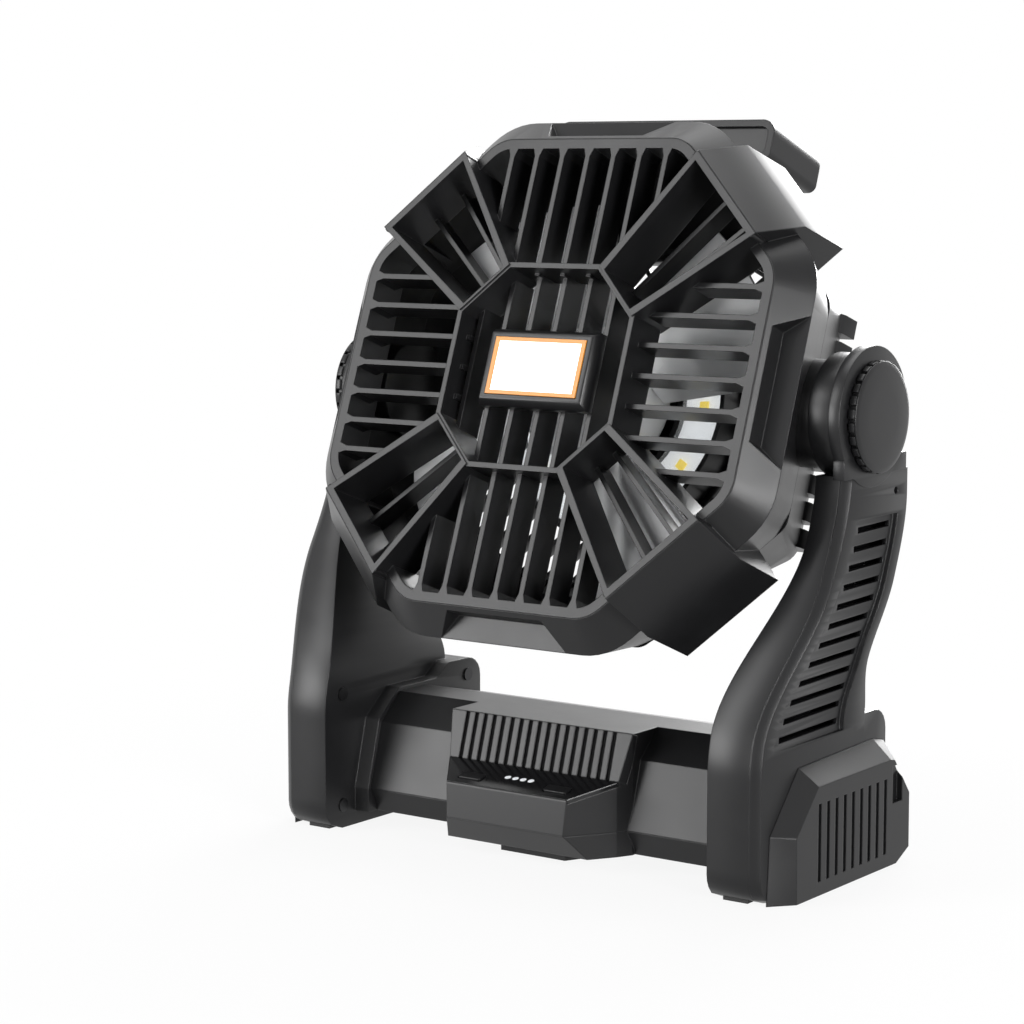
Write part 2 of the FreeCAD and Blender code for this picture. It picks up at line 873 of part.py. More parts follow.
def impeller():
    """Hub cup with twisted blades."""
    inner = hub_radius - hub_wall
    outline = [(shaft_radius, hub_front - hub_wall - 9.0), (hub_boss_radius, hub_front - hub_wall - 9.0)]
    outline = outline + [(hub_boss_radius, hub_front - hub_wall), (inner - 2.0, hub_front - hub_wall)]
    outline = outline + [(inner, hub_front - hub_wall - 2.0), (inner, hub_back), (hub_radius, hub_back)]
    outline = outline + [(hub_radius, hub_front - 3.0), (hub_radius - 3.0, hub_front), (shaft_radius, hub_front)]
    hub = turned(outline)
    stations = [hub_radius - 1.2, (hub_radius + blade_tip_radius) / 2.0, blade_tip_radius + 3.0]
    wires = []
    for distance in stations:
        share = (distance - stations[0]) / (stations[-1] - stations[0])
        width = blade_root_width + (blade_tip_width - blade_root_width) * share
        wires.append(blade_section(distance, width))
    blade = Part.makeLoft(wires, True, False)
    blade = blade.common(disc(blade_tip_radius, blade_back - 8.0, blade_front + 8.0))
    blade = blade.cut(disc(inner, hub_back - 1.0, hub_front))
    return fuse_all([hub] + turned_copies(blade, blade_count, blade_phase))


def hub_cap():
    """Domed nut on the end of the shaft."""
    low = Vector(0, 0, hub_front + 1.0)
    edge = Vector(cap_radius, 0, hub_front + 1.0)
    crown = Vector(0, 0, hub_front + cap_height)
    shoulder = Vector(cap_radius * 0.72, 0, hub_front + cap_height * 0.78)
    dome = Part.Arc(edge, shoulder, crown).toShape()
    wire = Part.Wire([Part.makeLine(low, edge), dome, Part.makeLine(crown, low)])
    solid = Part.Face(wire).revolve(Vector(0, 0, 0), Vector(0, 0, 1), 360)
    foot = ring(cap_radius, shaft_radius, hub_front, hub_front + 1.0)
    return solid.fuse(foot).removeSplitter()


# Pivot pieces of the right side, in the frame of the fan

def pivot_boss():
    """Round boss of the head, seen between the side wall and the arm."""
    disc_part = tube_x(boss_radius, boss_inner_half, boss_outer_half, 0, split_level)
    disc_part = disc_part.cut([bezel_form(), rear_form()])
    neck = tube_x(boss_neck_radius, boss_inner_half, boss_outer_half - 1.0, 0, split_level)
    bore = tube_x(bolt_radius + running_clearance, boss_inner_half - 1.0, boss_outer_half + 1.0, 0, split_level)
    return fuse_all([disc_part, neck]).cut(bore)


def pivot_bush():
    body = tube_x(bush_radius, arm_hub_inner(), arm_top_outer, 0, pivot_height)
    bore = tube_x(bolt_radius + running_clearance, arm_hub_inner(), arm_top_outer, 0, pivot_height)
    return body.cut(bore)


def arm_hub_inner():
    """Inner face of the arm's hub disc."""
    return boss_outer_half + moving_gap


def on_pivot(shape):
    """Puts a shape turned about Z on the tilt axis, with Z along X."""
    shape.rotate(Vector(0, 0, 0), Vector(0, 1, 0), 90)
    shape.translate(Vector(0, 0, pivot_height))
    return shape


def knob_inner():
    """Inner face of the knob, a gap away from the arm."""
    return arm_top_outer + moving_gap


def knob_outer():
    return knob_inner() + knob_depth


def knob_cap_seat():
    """Floor of the recess that holds the knob's cap."""
    return knob_outer() - knob_groove_depth - knob_cap_sink


def knob():
    """Round lock knob with a toothed groove in its face."""
    inner = knob_inner()
    groove = knob_outer() - knob_groove_depth
    cap_seat = knob_cap_seat()
    outline = [(bolt_radius, inner), (knob_radius - knob_chamfer, inner), (knob_radius, inner + knob_chamfer)]
    outline = outline + [(knob_radius, knob_outer() - knob_chamfer)]
    outline = outline + [(knob_radius - knob_chamfer, knob_outer()), (knob_groove_outer, knob_outer())]
    outline = outline + [(knob_groove_outer, groove), (knob_cap_radius, groove), (knob_cap_radius, cap_seat)]
    outline = outline + [(bolt_head_radius, cap_seat), (bolt_head_radius, inner + knob_floor)]
    outline.append((bolt_radius, inner + knob_floor))
    half = knob_tooth_width / 2.0
    tooth = box((knob_cap_radius, -half, groove - 0.1), (knob_groove_outer + 0.5, half, knob_outer() - 0.5))
    teeth = turned_copies(tooth, knob_tooth_count)
    clear = disc(knob_cap_radius + seam_gap, groove - 1.0, knob_outer())
    teeth = [one.cut(clear) for one in teeth]
    return on_pivot(fuse_all([turned(outline)] + teeth))


def knob_cap():
    """Smooth, slightly domed plate in the middle of the knob."""
    seat = knob_cap_seat()
    edge = knob_outer() - knob_cap_edge
    crown = edge + knob_cap_dome
    shoulder = knob_cap_radius - 2.0 * knob_cap_dome
    outline = [(0, seat), (knob_cap_radius, seat), (knob_cap_radius, edge), (shoulder, crown), (0, crown)]
    return on_pivot(turned(outline))


def pivot_bolt():
    head_low = knob_inner() + knob_floor
    shank = disc(bolt_radius, bolt_inner_half, head_low)
    head = disc(bolt_head_radius, head_low, knob_cap_seat() - bolt_head_gap)
    return on_pivot(shank.fuse(head).removeSplitter())


# Arms of the right side

arm_shoulder_height = pivot_height - arm_shoulder_drop
arm_crown_height = pivot_height - arm_crown_drop
arm_rear_top_height = arm_shoulder_height - arm_rear_top_drop


def arm_front(z):
    sweep_high = arm_shoulder_height + arm_sweep_rise
    return arm_base_front + arm_front_sweep * smooth_step(z, arm_sweep_low, sweep_high)


def arm_inner(z):
    rise = arm_hub_inner() - arm_base_inner
    return arm_base_inner + rise * smooth_step(z, arm_flare_inner_low, arm_flare_inner_high)


def arm_outer(z):
    rise = arm_top_outer - arm_base_outer
    return arm_base_outer + rise * smooth_step(z, arm_flare_outer_low, arm_flare_outer_high)


def arm_rear(z):
    if z < arm_waist_height:
        fall = smooth_step(-z, -arm_waist_height, -arm_waist_foot)
        return arm_waist + (arm_rear_foot - arm_waist) * fall
    rear = arm_waist + (arm_rear_top - arm_waist) * smooth_step(z, arm_waist_height, arm_rear_top_height)
    if z > arm_shoulder_height:
        rear = rear + (arm_crown_rear - arm_rear_top)
    return rear


def arm_levels():
    """Heights of the arm's sections, evenly spaced up to the shoulder."""
    step = arm_shoulder_height / arm_level_count
    return [index * step for index in range(arm_level_count)] + [arm_shoulder_height, arm_crown_height]


def arm_loft(section, levels):
    wires = [closed_wire([Vector(x, y, z) for x, y in section(z)]) for z in levels]
    return Part.makeLoft(wires, True, True)


def main_section(z):
    front = arm_front(z)
    rear = arm_rear(z)
    inner = arm_inner(z)
    seam = arm_outer(z) - arm_band_width
    return [(inner, front), (seam, front), (seam, rear), (inner, rear)]


def cover_section(z):
    front = arm_front(z)
    rear = arm_rear(z)
    outer = arm_outer(z)
    seam = outer - arm_band_width
    return [(seam, front), (outer, front + arm_band_depth), (outer, rear - arm_rear_bevel), (seam, rear)]


def cavity_section(z):
    front = arm_front(z) + shell_wall
    rear = arm_rear(z) - shell_wall
    inner = arm_inner(z) + shell_wall
    seam = arm_outer(z) - arm_band_width + 1.0
    return [(inner, front), (seam, front), (seam, rear), (inner, rear)]


def toe_limit():
    """Space behind the rounded front toe of the arm."""
    points = [(arm_base_front - 1.0, 0), (120, 0), (120, 200), (arm_base_front - 1.0, 200)]
    wire = rounded_wire([Vector(60, y, z) for y, z in points], [arm_toe_radius, 0, 0, 0])
    return prism(wire, Vector(80, 0, 0))


def ear(x_low, x_high):
    """Rear ear of the arm, above and behind the foot block."""
    points = [(arm_waist - 4.0, 0), (ear_rear, 0), (ear_rear, ear_top), (arm_waist - 4.0, ear_top)]
    wire = rounded_wire([Vector(x_low, y, z) for y, z in points], [0, 0, ear_corner_radius, 0])
    return prism(wire, Vector(x_high - x_low, 0, 0))


def bracket():
    """Thick inner foot of the arm, where the base bar ends."""
    front = base_front_low() - 1.5
    points = [(front, base_floor), (ear_rear, base_floor), (ear_rear, ear_top), (12.0, ear_top)]
    points = points + [(4.0, base_top + 1.5), (-20.0, base_top + 1.5), (base_front_top() - 1.5, 41.5)]
    points.append((base_front_low() - 1.5, base_split))
    radii = [0, 0, ear_corner_radius, 4.0, 4.0, 3.0, 2.0, 2.0]
    wire = rounded_wire([Vector(bracket_inner, y, z) for y, z in points], radii)
    return prism(wire, Vector(arm_base_inner - bracket_inner + 1.0, 0, 0))


def arm_screw_places():
    """Screw heads on the arm's inner faces, as X, Y and Z of the face under each head."""
    front = arm_base_front + 10.5
    return [(arm_base_inner, front, 52.6), (arm_base_inner, front, 9.0), (bracket_inner, 24.4, 50.5)]


def arm_screws():
    screws = []
    for x, y, z in arm_screw_places():
        head = tube_x(screw_head_radius, x - 0.6, x + 1.0, y, z)
        shank = tube_x(screw_shank_radius, x + 1.0, x + screw_length, y, z)
        screw = head.fuse(shank).removeSplitter()
        screws = screws + [screw, mirrored(screw)]
    return Part.makeCompound(screws)


def pad_places():
    middle = (arm_base_inner + arm_base_outer - arm_band_width) / 2.0
    return [(middle, pad_front), (middle, pad_rear)]


def rubber_pads():
    pads = []
    for x, y in pad_places():
        low = (x - pad_width / 2.0, y - pad_length / 2.0, 0)
        pad = box(low, (x + pad_width / 2.0, y + pad_length / 2.0, pad_depth))
        pads = pads + [pad, mirrored(pad)]
    return Part.makeCompound(pads)


def arm():
    """Inner half of the right arm, hollow in its upper part."""
    body = arm_loft(main_section, arm_levels()).common(toe_limit())
    cavity_high = arm_shoulder_height - arm_cavity_drop
    cavity_levels = [level for level in arm_levels() if arm_cavity_low < level < cavity_high]
    body = body.cut(arm_loft(cavity_section, cavity_levels))
    seam = arm_top_outer - arm_band_width
    hub = tube_x(hub_disc_radius, arm_hub_inner(), seam, 0, pivot_height)
    foot_seam = arm_base_outer - arm_band_width
    body = fuse_all([body, hub, ear(arm_base_inner, foot_seam), bracket()])
    bush = tube_x(bush_radius, arm_hub_inner() - 1.0, seam + 1.0, 0, pivot_height)
    return body.cut([bush, arm_screws(), rubber_pads()])


def arm_slots():
    """Level louvre slots through the outer cover."""
    slots = []
    for index in range(slot_count):
        z = slot_first_height + index * slot_pitch
        front = arm_front(z) + slot_front_margin
        low_share = 1.0 - smooth_step(z, slot_first_height, arm_waist_height)
        rear = arm_rear(z) - slot_rear_margin - slot_low_extra * low_share
        slots.append(box((80.0, front, z - slot_height / 2.0), (130.0, rear, z + slot_height / 2.0)))
    return slots


def arm_cover():
    """Outer half of the right arm, with the front band and the louvres."""
    body = arm_loft(cover_section, arm_levels()).common(toe_limit())
    seam = arm_top_outer - arm_band_width
    hub = tube_x(hub_disc_radius, seam, arm_top_outer, 0, pivot_height)
    foot_seam = arm_base_outer - arm_band_width
    body = fuse_all([body, hub, ear(foot_seam, arm_base_outer)])
    bush = tube_x(bush_radius, seam - 1.0, arm_top_outer + 1.0, 0, pivot_height)
    return body.cut(arm_slots() + [bush])


# Foot block outside the right arm

def foot_block():
    """Faceted block with an upright-grooved outer face."""
    inner = [(-52.0, 0), (30.0, 0), (40.0, 4.5), (40.0, 25.0), (31.0, 45.3), (23.0, 47.0), (-31.0, 45.5), (-50.4, 24.3)]
    outer = [(-43.5, 0), (29.0, 0), (38.7, 4.5), (38.5, 25.0), (27.0, 39.0), (24.0, 39.6), (-29.0, 39.2), (-44.0, 23.6)]
    wires = []
    for x, outline in ((arm_base_outer, inner), (foot_outer, outer)):
        wires.append(closed_wire([Vector(x, y, z) for y, z in outline]))
    body = Part.makeLoft(wires, True, True)
    cutters = []
    middle = -4.0
    for index in range(foot_groove_count):
        y = middle + (index - (foot_groove_count - 1) / 2.0) * foot_groove_pitch
        low = (foot_outer - foot_groove_depth, y - foot_groove_width / 2.0, foot_groove_low)
        cutters.append(box(low, (foot_outer + 1.0, y + foot_groove_width / 2.0, foot_groove_high)))
    notch_low = (foot_outer - foot_notch_depth, 25.5, 23.0)
    cutters.append(box(notch_low, (foot_outer + 1.0, 33.0, 37.0)))
    return body.cut(cutters)


# Base bar

def bar_outline():
    """Side outline of the base bar, as Y and Z, anticlockwise."""
    return [(-34.5, base_floor), (28.0, base_floor), (base_rear, base_floor + 5.5), (base_rear, 38.0),
            (30.0, 43.0), (-3.0, base_top), (-20.0, base_top), (-31.5, 40.0), (-38.5, base_split - 0.2)]


def base_front_low():
    return bar_outline()[-1][0]


def base_front_top():
    return bar_outline()[-2][0]


shelf_front = (-58.6, 28.4)
shelf_back = (-41.8, 33.3)
grip_top = (-36.6, base_top)


def block_outline():
    """Side outline of the middle block, anticlockwise."""
    return [(-51.8, base_floor), (-14.0, base_floor), (-14.0, base_top), grip_top, shelf_back, shelf_front,
            (-59.9, base_split + 0.2)]


def block_plan(margin):
    """Plan of the middle block, anticlockwise, with its sides moved inwards."""
    points = [(-26.0, -60.2), (26.0, -60.2), (38.0, -42.3), (41.0, -36.4), (41.0, -14.0)]
    points = points + [(-41.0, -14.0), (-41.0, -36.4), (-38.0, -42.3)]
    return inset(points, margin)


def middle_block(margin):
    solid = side_prism(inset(block_outline(), margin), -60.0, 60.0)
    return solid.common(plan_prism(block_plan(margin), 0.0, base_top + 10.0))


def slope_plate(low, high, depth):
    """Plate of a given depth under a sloping line of the block's outline."""
    run = (Vector(high[0], high[1], 0) - Vector(low[0], low[1], 0)).normalize()
    into = Vector(run.y, -run.x, 0) * depth
    outline = [low, (low[0] + into.x, low[1] + into.y), (high[0] + into.x, high[1] + into.y), high]
    solid = side_prism(outline, -60.0, 60.0)
    return solid.common(plan_prism(block_plan(0.0), 0.0, base_top + 10.0))


def shelf_angle():
    return math.degrees(math.atan2(shelf_back[1] - shelf_front[1], shelf_back[0] - shelf_front[0]))


def on_shelf(shape, across, from_edge):
    """Puts a shape, built flat about the origin, on the sloping control shelf."""
    shape.rotate(Vector(0, 0, 0), Vector(1, 0, 0), shelf_angle())
    run = Vector(0, shelf_back[0] - shelf_front[0], shelf_back[1] - shelf_front[1]).normalize()
    shape.translate(Vector(across, shelf_front[0], shelf_front[1]) + run * from_edge)
    return shape


def button_block(growth, low, high):
    wide = button_length / 2.0 + growth
    deep = button_width / 2.0 + growth
    points = [Vector(x, y, low) for x, y in ((wide, -deep), (wide, deep), (-wide, deep), (-wide, -deep))]
    return prism(rounded_wire(points, [button_corner] * 4), Vector(0, 0, high - low))


def button(side):
    return on_shelf(button_block(0.0, button_proud - button_height, button_proud), side * button_offset,
                    button_from_edge)


def button_holes():
    holes = []
    for side in (-1, 1):
        hole = button_block(button_gap, -20.0, 5.0)
        holes.append(on_shelf(hole, side * button_offset, button_from_edge))
    return holes


def indicator_dots():
    dots = []
    for index in range(dot_count):
        dot = Part.makeCylinder(dot_radius, dot_depth, Vector(0, 0, -dot_depth))
        across = (index - (dot_count - 1) / 2.0) * dot_pitch
        dots.append(on_shelf(dot, across, dot_from_edge))
    return Part.makeCompound(dots)


def control_panel():
    return slope_plate(shelf_front, shelf_back, panel_thickness).cut(button_holes() + [indicator_dots()])


def grip_plate():
    return slope_plate(shelf_back, grip_top, grip_thickness).cut(slope_plate(shelf_front, shelf_back, panel_thickness))


def grip_panel():
    """Upright-ribbed panel above the control strip."""
    plate = grip_plate()
    run = Vector(0, grip_top[0] - shelf_back[0], grip_top[1] - shelf_back[1])
    length = run.Length
    slope = math.degrees(math.atan2(run.z, run.y))
    grooves = []
    pitch = 2.0 * (block_plan(0.0)[2][0] - 0.5) / grip_rib_count
    for index in range(grip_rib_count - 1):
        across = (index - (grip_rib_count - 2) / 2.0) * pitch
        groove = box((across - grip_groove_width / 2.0, -1.0, -grip_groove_depth),
                     (across + grip_groove_width / 2.0, length + 1.0, grip_groove_depth))
        groove.rotate(Vector(0, 0, 0), Vector(1, 0, 0), slope)
        groove.translate(Vector(0, shelf_back[0], shelf_back[1]))
        grooves.append(groove)
    return plate.cut(grooves)


def base_form():
    bar = side_prism(bar_outline(), -bracket_inner, bracket_inner)
    return fuse_all([bar, middle_block(0.0)])


def base_hollow():
    inner_bar = side_prism(inset(bar_outline(), shell_wall), -bracket_inner + shell_wall, bracket_inner - shell_wall)
    return inner_bar.fuse(middle_block(block_inset))


def usb_places():
    """Charging inlet and outlet in the rear wall: X, width and height."""
    return {"usb_c_socket": (-22.0, 9.0, 3.4), "usb_a_socket": (22.0, 14.6, 7.0)}


def usb_body(name, depth):
    x, width, height = usb_places()[name]
    low = (x - width / 2.0, base_rear - depth, 25.0 - height / 2.0)
    return box(low, (x + width / 2.0, base_rear, 25.0 + height / 2.0))


def usb_socket(name):
    x, width, height = usb_places()[name]
    mouth_low = (x - width / 2.0 + usb_wall, base_rear - 7.0, 25.0 - height / 2.0 + usb_wall)
    mouth = box(mouth_low, (x + width / 2.0 - usb_wall, base_rear, 25.0 + height / 2.0 - usb_wall))
    tongue_low = (x - width / 2.0 + 1.4, base_rear - 8.0, 25.0 - height * 0.1)
    tongue = box(tongue_low, (x + width / 2.0 - 1.4, base_rear - 1.0, 25.0 + height * 0.12))
    return fuse_all([usb_body(name, 8.5).cut(mouth), tongue])


def socket_board():
    """Small board that the two sockets stand on."""
    return box((-34.0, base_rear - 8.5 - board_thickness, 12.0), (34.0, base_rear - 8.5, 34.0))


def base_shell():
    """Upper part of the base, above the parting line."""
    form = base_form().cut([base_hollow()])
    upper = form.common(box((-100, -100, base_split), (100, 100, base_top + 20.0)))
    cutters = [slope_plate(shelf_front, shelf_back, panel_thickness), grip_plate()] + button_holes()
    cutters = cutters + [usb_body("usb_c_socket", 8.5), usb_body("usb_a_socket", 8.5)]
    return upper.cut(cutters)


def hook_lug(x_low, x_high):
    """Lug under the base that holds one end of the hook's pin."""
    half = hook_lug_length / 2.0
    low = hook_pin_height - hook_barrel_radius
    points = [(hook_pin_back - half, base_floor), (hook_pin_back - half + 2.0, low)]
    points = points + [(hook_pin_back + half - 2.0, low), (hook_pin_back + half, base_floor)]
    return side_prism(points, x_low, x_high)


def pin_reach():
    """Half length of the hook's pin."""
    return hook_half_width + hook_side_gap + hook_lug_width


def base_screw_places():
    return [(x, y) for x in (-62.0, 62.0) for y in (-28.7, 22.0)]


def base_screws():
    screws = []
    for x, y in base_screw_places():
        head = Part.makeCylinder(screw_head_radius, 1.2, Vector(x, y, base_floor - 0.6))
        shank = Part.makeCylinder(screw_shank_radius, screw_length + 4.0, Vector(x, y, base_floor + 0.6))
        screws.append(head.fuse(shank).removeSplitter())
    return Part.makeCompound(screws)


def base_bottom_cover():
    """Lower part of the base, with the hook's lugs, screw posts and board posts."""
    form = base_form().cut([base_hollow()])
    lower = form.common(box((-100, -100, 0), (100, 100, base_split)))
    inner = hook_half_width + hook_side_gap
    pieces = [lower, hook_lug(inner, pin_reach()), hook_lug(-pin_reach(), -inner)]
    for x, y in base_screw_places():
        pieces.append(Part.makeCylinder(screw_head_radius + 1.0, 16.0, Vector(x, y, base_floor)))
    for x in (-20.0, 20.0):
        pieces.append(Part.makeCylinder(2.2, board_level() - base_floor, Vector(x, -44.0, base_floor)))
    room = tube_x(hook_barrel_radius + moving_gap, -inner, inner, hook_pin_back, hook_pin_height)
    pin = tube_x(hook_pin_radius, -pin_reach(), pin_reach(), hook_pin_back, hook_pin_height)
    return fuse_all(pieces).cut([room, pin, base_screws()])


def board_level():
    return 18.5


def control_board():
    """Board with its two switches, under the control strip."""
    board = box((-22.6, -54.0, board_level()), (22.6, -40.0, board_level() + board_thickness))
    switches = []
    for side in (-1, 1):
        low = (side * button_offset - 2.5, -54.0, board_level())
        switches.append(box(low, (side * button_offset + 2.5, -50.4, 26.2)))
    return fuse_all([board] + switches)


def cell_axes():
    floor = base_floor + shell_wall
    height = floor + tray_wall + cell_radius
    return [(cell_row_middle + side * cell_row_pitch / 2.0, height) for side in (-1, 1)]


def battery_cells():
    cells = []
    for y, z in cell_axes():
        start = cell_gap / 2.0
        body = tube_x(cell_radius, start, start + cell_length, y, z)
        button_end = tube_x(3.0, start + cell_length, start + cell_length + 1.0, y, z)
        cell = body.fuse(button_end).removeSplitter()
        cells = cells + [cell, mirrored(cell)]
    return Part.makeCompound(cells)


def battery_tray():
    """Cradle with half-round seats and end walls."""
    floor = base_floor + shell_wall
    half_length = cell_gap / 2.0 + cell_length + 3.0
    half_width = cell_row_pitch / 2.0 + cell_radius + tray_wall
    height = floor + tray_wall + cell_radius
    low = (-half_length, cell_row_middle - half_width, floor)
    body = box(low, (half_length, cell_row_middle + half_width, height))
    seats = []
    for y, z in cell_axes():
        seats.append(tube_x(cell_radius, -half_length + tray_wall, half_length - tray_wall, y, z))
    corners = [Part.makeCylinder(screw_head_radius + 1.2, 30.0, Vector(x, y, 0)) for x, y in base_screw_places()]
    return body.cut(seats + corners)


# Hanging hook, folded flat under the base

def hook_outline():
    """Outer outline of the hook: width across, and distance from the pin towards the tip."""
    wide = hook_half_width
    return [(-wide, 0), (wide, 0), (wide, 30.0), (20.5, 55.0), (17.0, hook_length), (-12.0, hook_length),
            (-17.5, 45.0), (-12.5, 45.0), (-7.0, 55.5), (10.5, 55.5), (13.0, 51.0), (18.0, 39.5), (-wide, 16.0)]


def hook_windows():
    """The low window and the small triangle beside the straight side."""
    low_window = [(-26.0, 6.0), (25.5, 6.0), (25.5, 14.5), (2.0, 22.5), (-26.0, 11.5)]
    triangle = [(10.0, 26.0), (25.5, 20.5), (25.5, 28.0), (21.0, 33.0), (20.0, 32.5)]
    return [low_window, triangle]


def hook_plate(outline):
    """Plate of the hook's thickness from a hook outline."""
    low = hook_pin_height - hook_thickness / 2.0
    points = [(across, hook_pin_back - along) for across, along in outline]
    return plan_prism(list(reversed(points)), low, low + hook_thickness)


def hook_frame():
    plate = hook_plate(hook_outline()).cut([hook_plate(window) for window in hook_windows()])
    barrel = tube_x(hook_barrel_radius, -hook_half_width, hook_half_width, hook_pin_back, hook_pin_height)
    bore = tube_x(hook_pin_radius + running_clearance, -hook_half_width - 1.0, hook_half_width + 1.0,
                  hook_pin_back, hook_pin_height)
    return fuse_all([plate, barrel]).cut(bore)


def hook_pin():
    return tube_x(hook_pin_radius, -pin_reach(), pin_reach(), hook_pin_back, hook_pin_height)


# Every sub-part, by name

def head_parts():
    bearing_seat = rear_back_level + mount_floor + 1.0
    boss = pivot_boss()
    return {
        "front_bezel": front_bezel(),
        "front_grille": front_grille(),
        "light_housing": light_housing(),
        "light_trim": light_trim(),
        "light_lens": light_lens(),
        "light_board": light_board(),
        "rear_shell": rear_shell(),
        "rear_grille": rear_grille(),
        "top_box": top_box(),
        "top_box_panel": top_box_panel(),
        "motor_mount": motor_mount(),
        "ring_light_board": ring_light_board(),
        "ring_light_chips": ring_light_chips(),
        "ring_light_cover": ring_light_cover(),
        "motor_housing": motor_housing(),
        "motor_bearing_front": motor_bearing(motor_front()),
        "motor_bearing_rear": motor_bearing(bearing_seat),
        "pivot_boss_right": boss,
        "pivot_boss_left": mirrored(boss),
        "head_screws": head_screws(),
        "impeller": impeller(),
        "motor_shaft": motor_shaft(),
        "hub_cap": hub_cap(),
    }


def paired_parts():
    """Pieces of the right side, each with a mirrored twin on the left."""
    return {"arm": arm(), "arm_cover": arm_cover(), "foot_block": foot_block(), "pivot_bush": pivot_bush(),
            "knob": knob(), "knob_cap": knob_cap(), "pivot_bolt": pivot_bolt()}


def base_parts():
    return {
        "base_shell": base_shell(),
        "base_bottom_cover": base_bottom_cover(),
        "grip_panel": grip_panel(),
        "control_panel": control_panel(),
        "indicator_dots": indicator_dots(),
        "fan_button": button(-1),
        "light_button": button(1),
        "control_board": control_board(),
        "socket_board": socket_board(),
        "battery_cells": battery_cells(),
        "battery_tray": battery_tray(),
        "usb_c_socket": usb_socket("usb_c_socket"),
        "usb_a_socket": usb_socket("usb_a_socket"),
        "arm_screws": arm_screws(),
        "base_screws": base_screws(),
        "rubber_pads": rubber_pads(),
        "hook_frame": hook_frame(),
        "hook_pin": hook_pin(),
    }


os.makedirs("parts", exist_ok=True)
for part_name, part_shape in head_parts().items():
    save(part_name, part_shape, in_head=True)
for part_name, part_shape in paired_parts().items():
    save(part_name + "_right", part_shape)
    save(part_name + "_left", mirrored(part_shape))
for part_name, part_shape in base_parts().items():
    save(part_name, part_shape)
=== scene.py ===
import bmesh
import bpy
import json
import math
from mathutils import Matrix, Vector


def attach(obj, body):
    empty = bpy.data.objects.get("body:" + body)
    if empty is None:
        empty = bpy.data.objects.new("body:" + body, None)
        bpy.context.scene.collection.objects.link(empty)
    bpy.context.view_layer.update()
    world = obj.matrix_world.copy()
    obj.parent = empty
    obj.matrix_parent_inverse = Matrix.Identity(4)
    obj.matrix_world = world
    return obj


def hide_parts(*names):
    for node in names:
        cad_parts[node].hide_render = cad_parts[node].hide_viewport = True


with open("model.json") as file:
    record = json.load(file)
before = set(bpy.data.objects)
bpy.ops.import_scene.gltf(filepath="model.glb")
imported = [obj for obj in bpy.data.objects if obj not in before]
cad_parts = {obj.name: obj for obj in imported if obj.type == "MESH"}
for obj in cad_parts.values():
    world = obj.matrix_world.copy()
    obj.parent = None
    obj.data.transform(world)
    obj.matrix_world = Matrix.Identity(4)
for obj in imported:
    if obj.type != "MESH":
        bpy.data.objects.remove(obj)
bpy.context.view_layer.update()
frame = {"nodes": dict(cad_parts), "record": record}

# Looks of the camping fan: its materials, the forms that the solids have plainer, and the studio

# Camera of the photograph: angles in degrees, lengths in metres
view_azimuth = 35.917
view_elevation = 7.064
aim_point = Vector((-0.02595, -0.01879, 0.12492))
camera_distance = 1.04313
lens_mm = 96.94
sensor_mm = 36.0

# Stance of the head, as the part has it at rest
tilt_at_rest = math.radians(20.45)

# Studio: the floor is white to the camera, and less so near the fan, where its shadow shows
white = (1.0, 1.0, 1.0, 1.0)
floor_size = 12.0
floor_colour = (0.62, 0.62, 0.62, 1.0)
floor_white_near = 0.9
shadow_near = 0.14
shadow_far = 0.42
world_grey = (0.8, 0.81, 0.83, 1.0)
world_strength = 0.22

# Plastics: fine grain, mottling of the colour and the roughness, and edges made paler, partly wear
# and partly a painted highlight. A point is near an edge where its rounded normal is less like its face's.
grain_scale = 2600.0
grain_strength = 0.35
mottle_scale = 55.0
mottle_spread = 0.14
roughness_spread = 0.05
likeness_off_edge = 0.99
likeness_on_edge = 0.8
wear_and_highlight_factor = 1.4
wear_and_highlight_lift = 0.004

# The forms that the scene shapes, in millimetres. Heights are above the floor. In the head, levels
# run to the front from the tilt axis, and halves and distances run outwards from the head's axis.
millimetre = 0.001
pivot_height = 167.2

# Edges that turn by less than this are shaded smooth, and the others get a small bevel
smooth_angle = math.radians(32.0)

# Cutting solids run past what they cut, and walls that would coincide are set a little apart
cut_overrun = 2.0
short_overrun = 1.0
block_offset = 0.01
lining_offset = 0.02

# Front opening, and the strip and seat round it
opening_half = 86.1
opening_diagonal = 89.0
opening_corner_radius = 12.0
strip_growth = 3.85
strip_level = 38.4
seat_growth = 1.95
flange_thickness = 2.0

# Front bezel, from its split with the rear shell to its crease
crease_half = 100.8
crease_level = 26.8
head_taper = 0.345
split_level = 0.0
split_half = crease_half - head_taper * (crease_level - split_level)
bezel_wall = 3.0
seam_gap = 0.15

# Notches in the bezel's four long facets
notch_margin = 1.75
notch_rise = 1.5
notch_inner_half = 21.0
notch_outer_half = 28.0
notch_lining = 2.2
notch_wall = 1.25
notch_past_crease = 4.0
notch_past_boxes = 6.0
lining_cut_depth = 12.0

# Corner blocks, and the boxes of the grille that stand in them
block_crease_distance = 107.5
block_crease_level = 27.0
block_back_distance = 109.0
block_inner_share = 0.7
block_low = 0.4
block_back_wall = 2.2
ring_half = 38.3
ring_side_half = 20.0
box_front = 45.0
box_depth = 21.0
box_outer_distance = 95.2
box_outer_half = 21.8

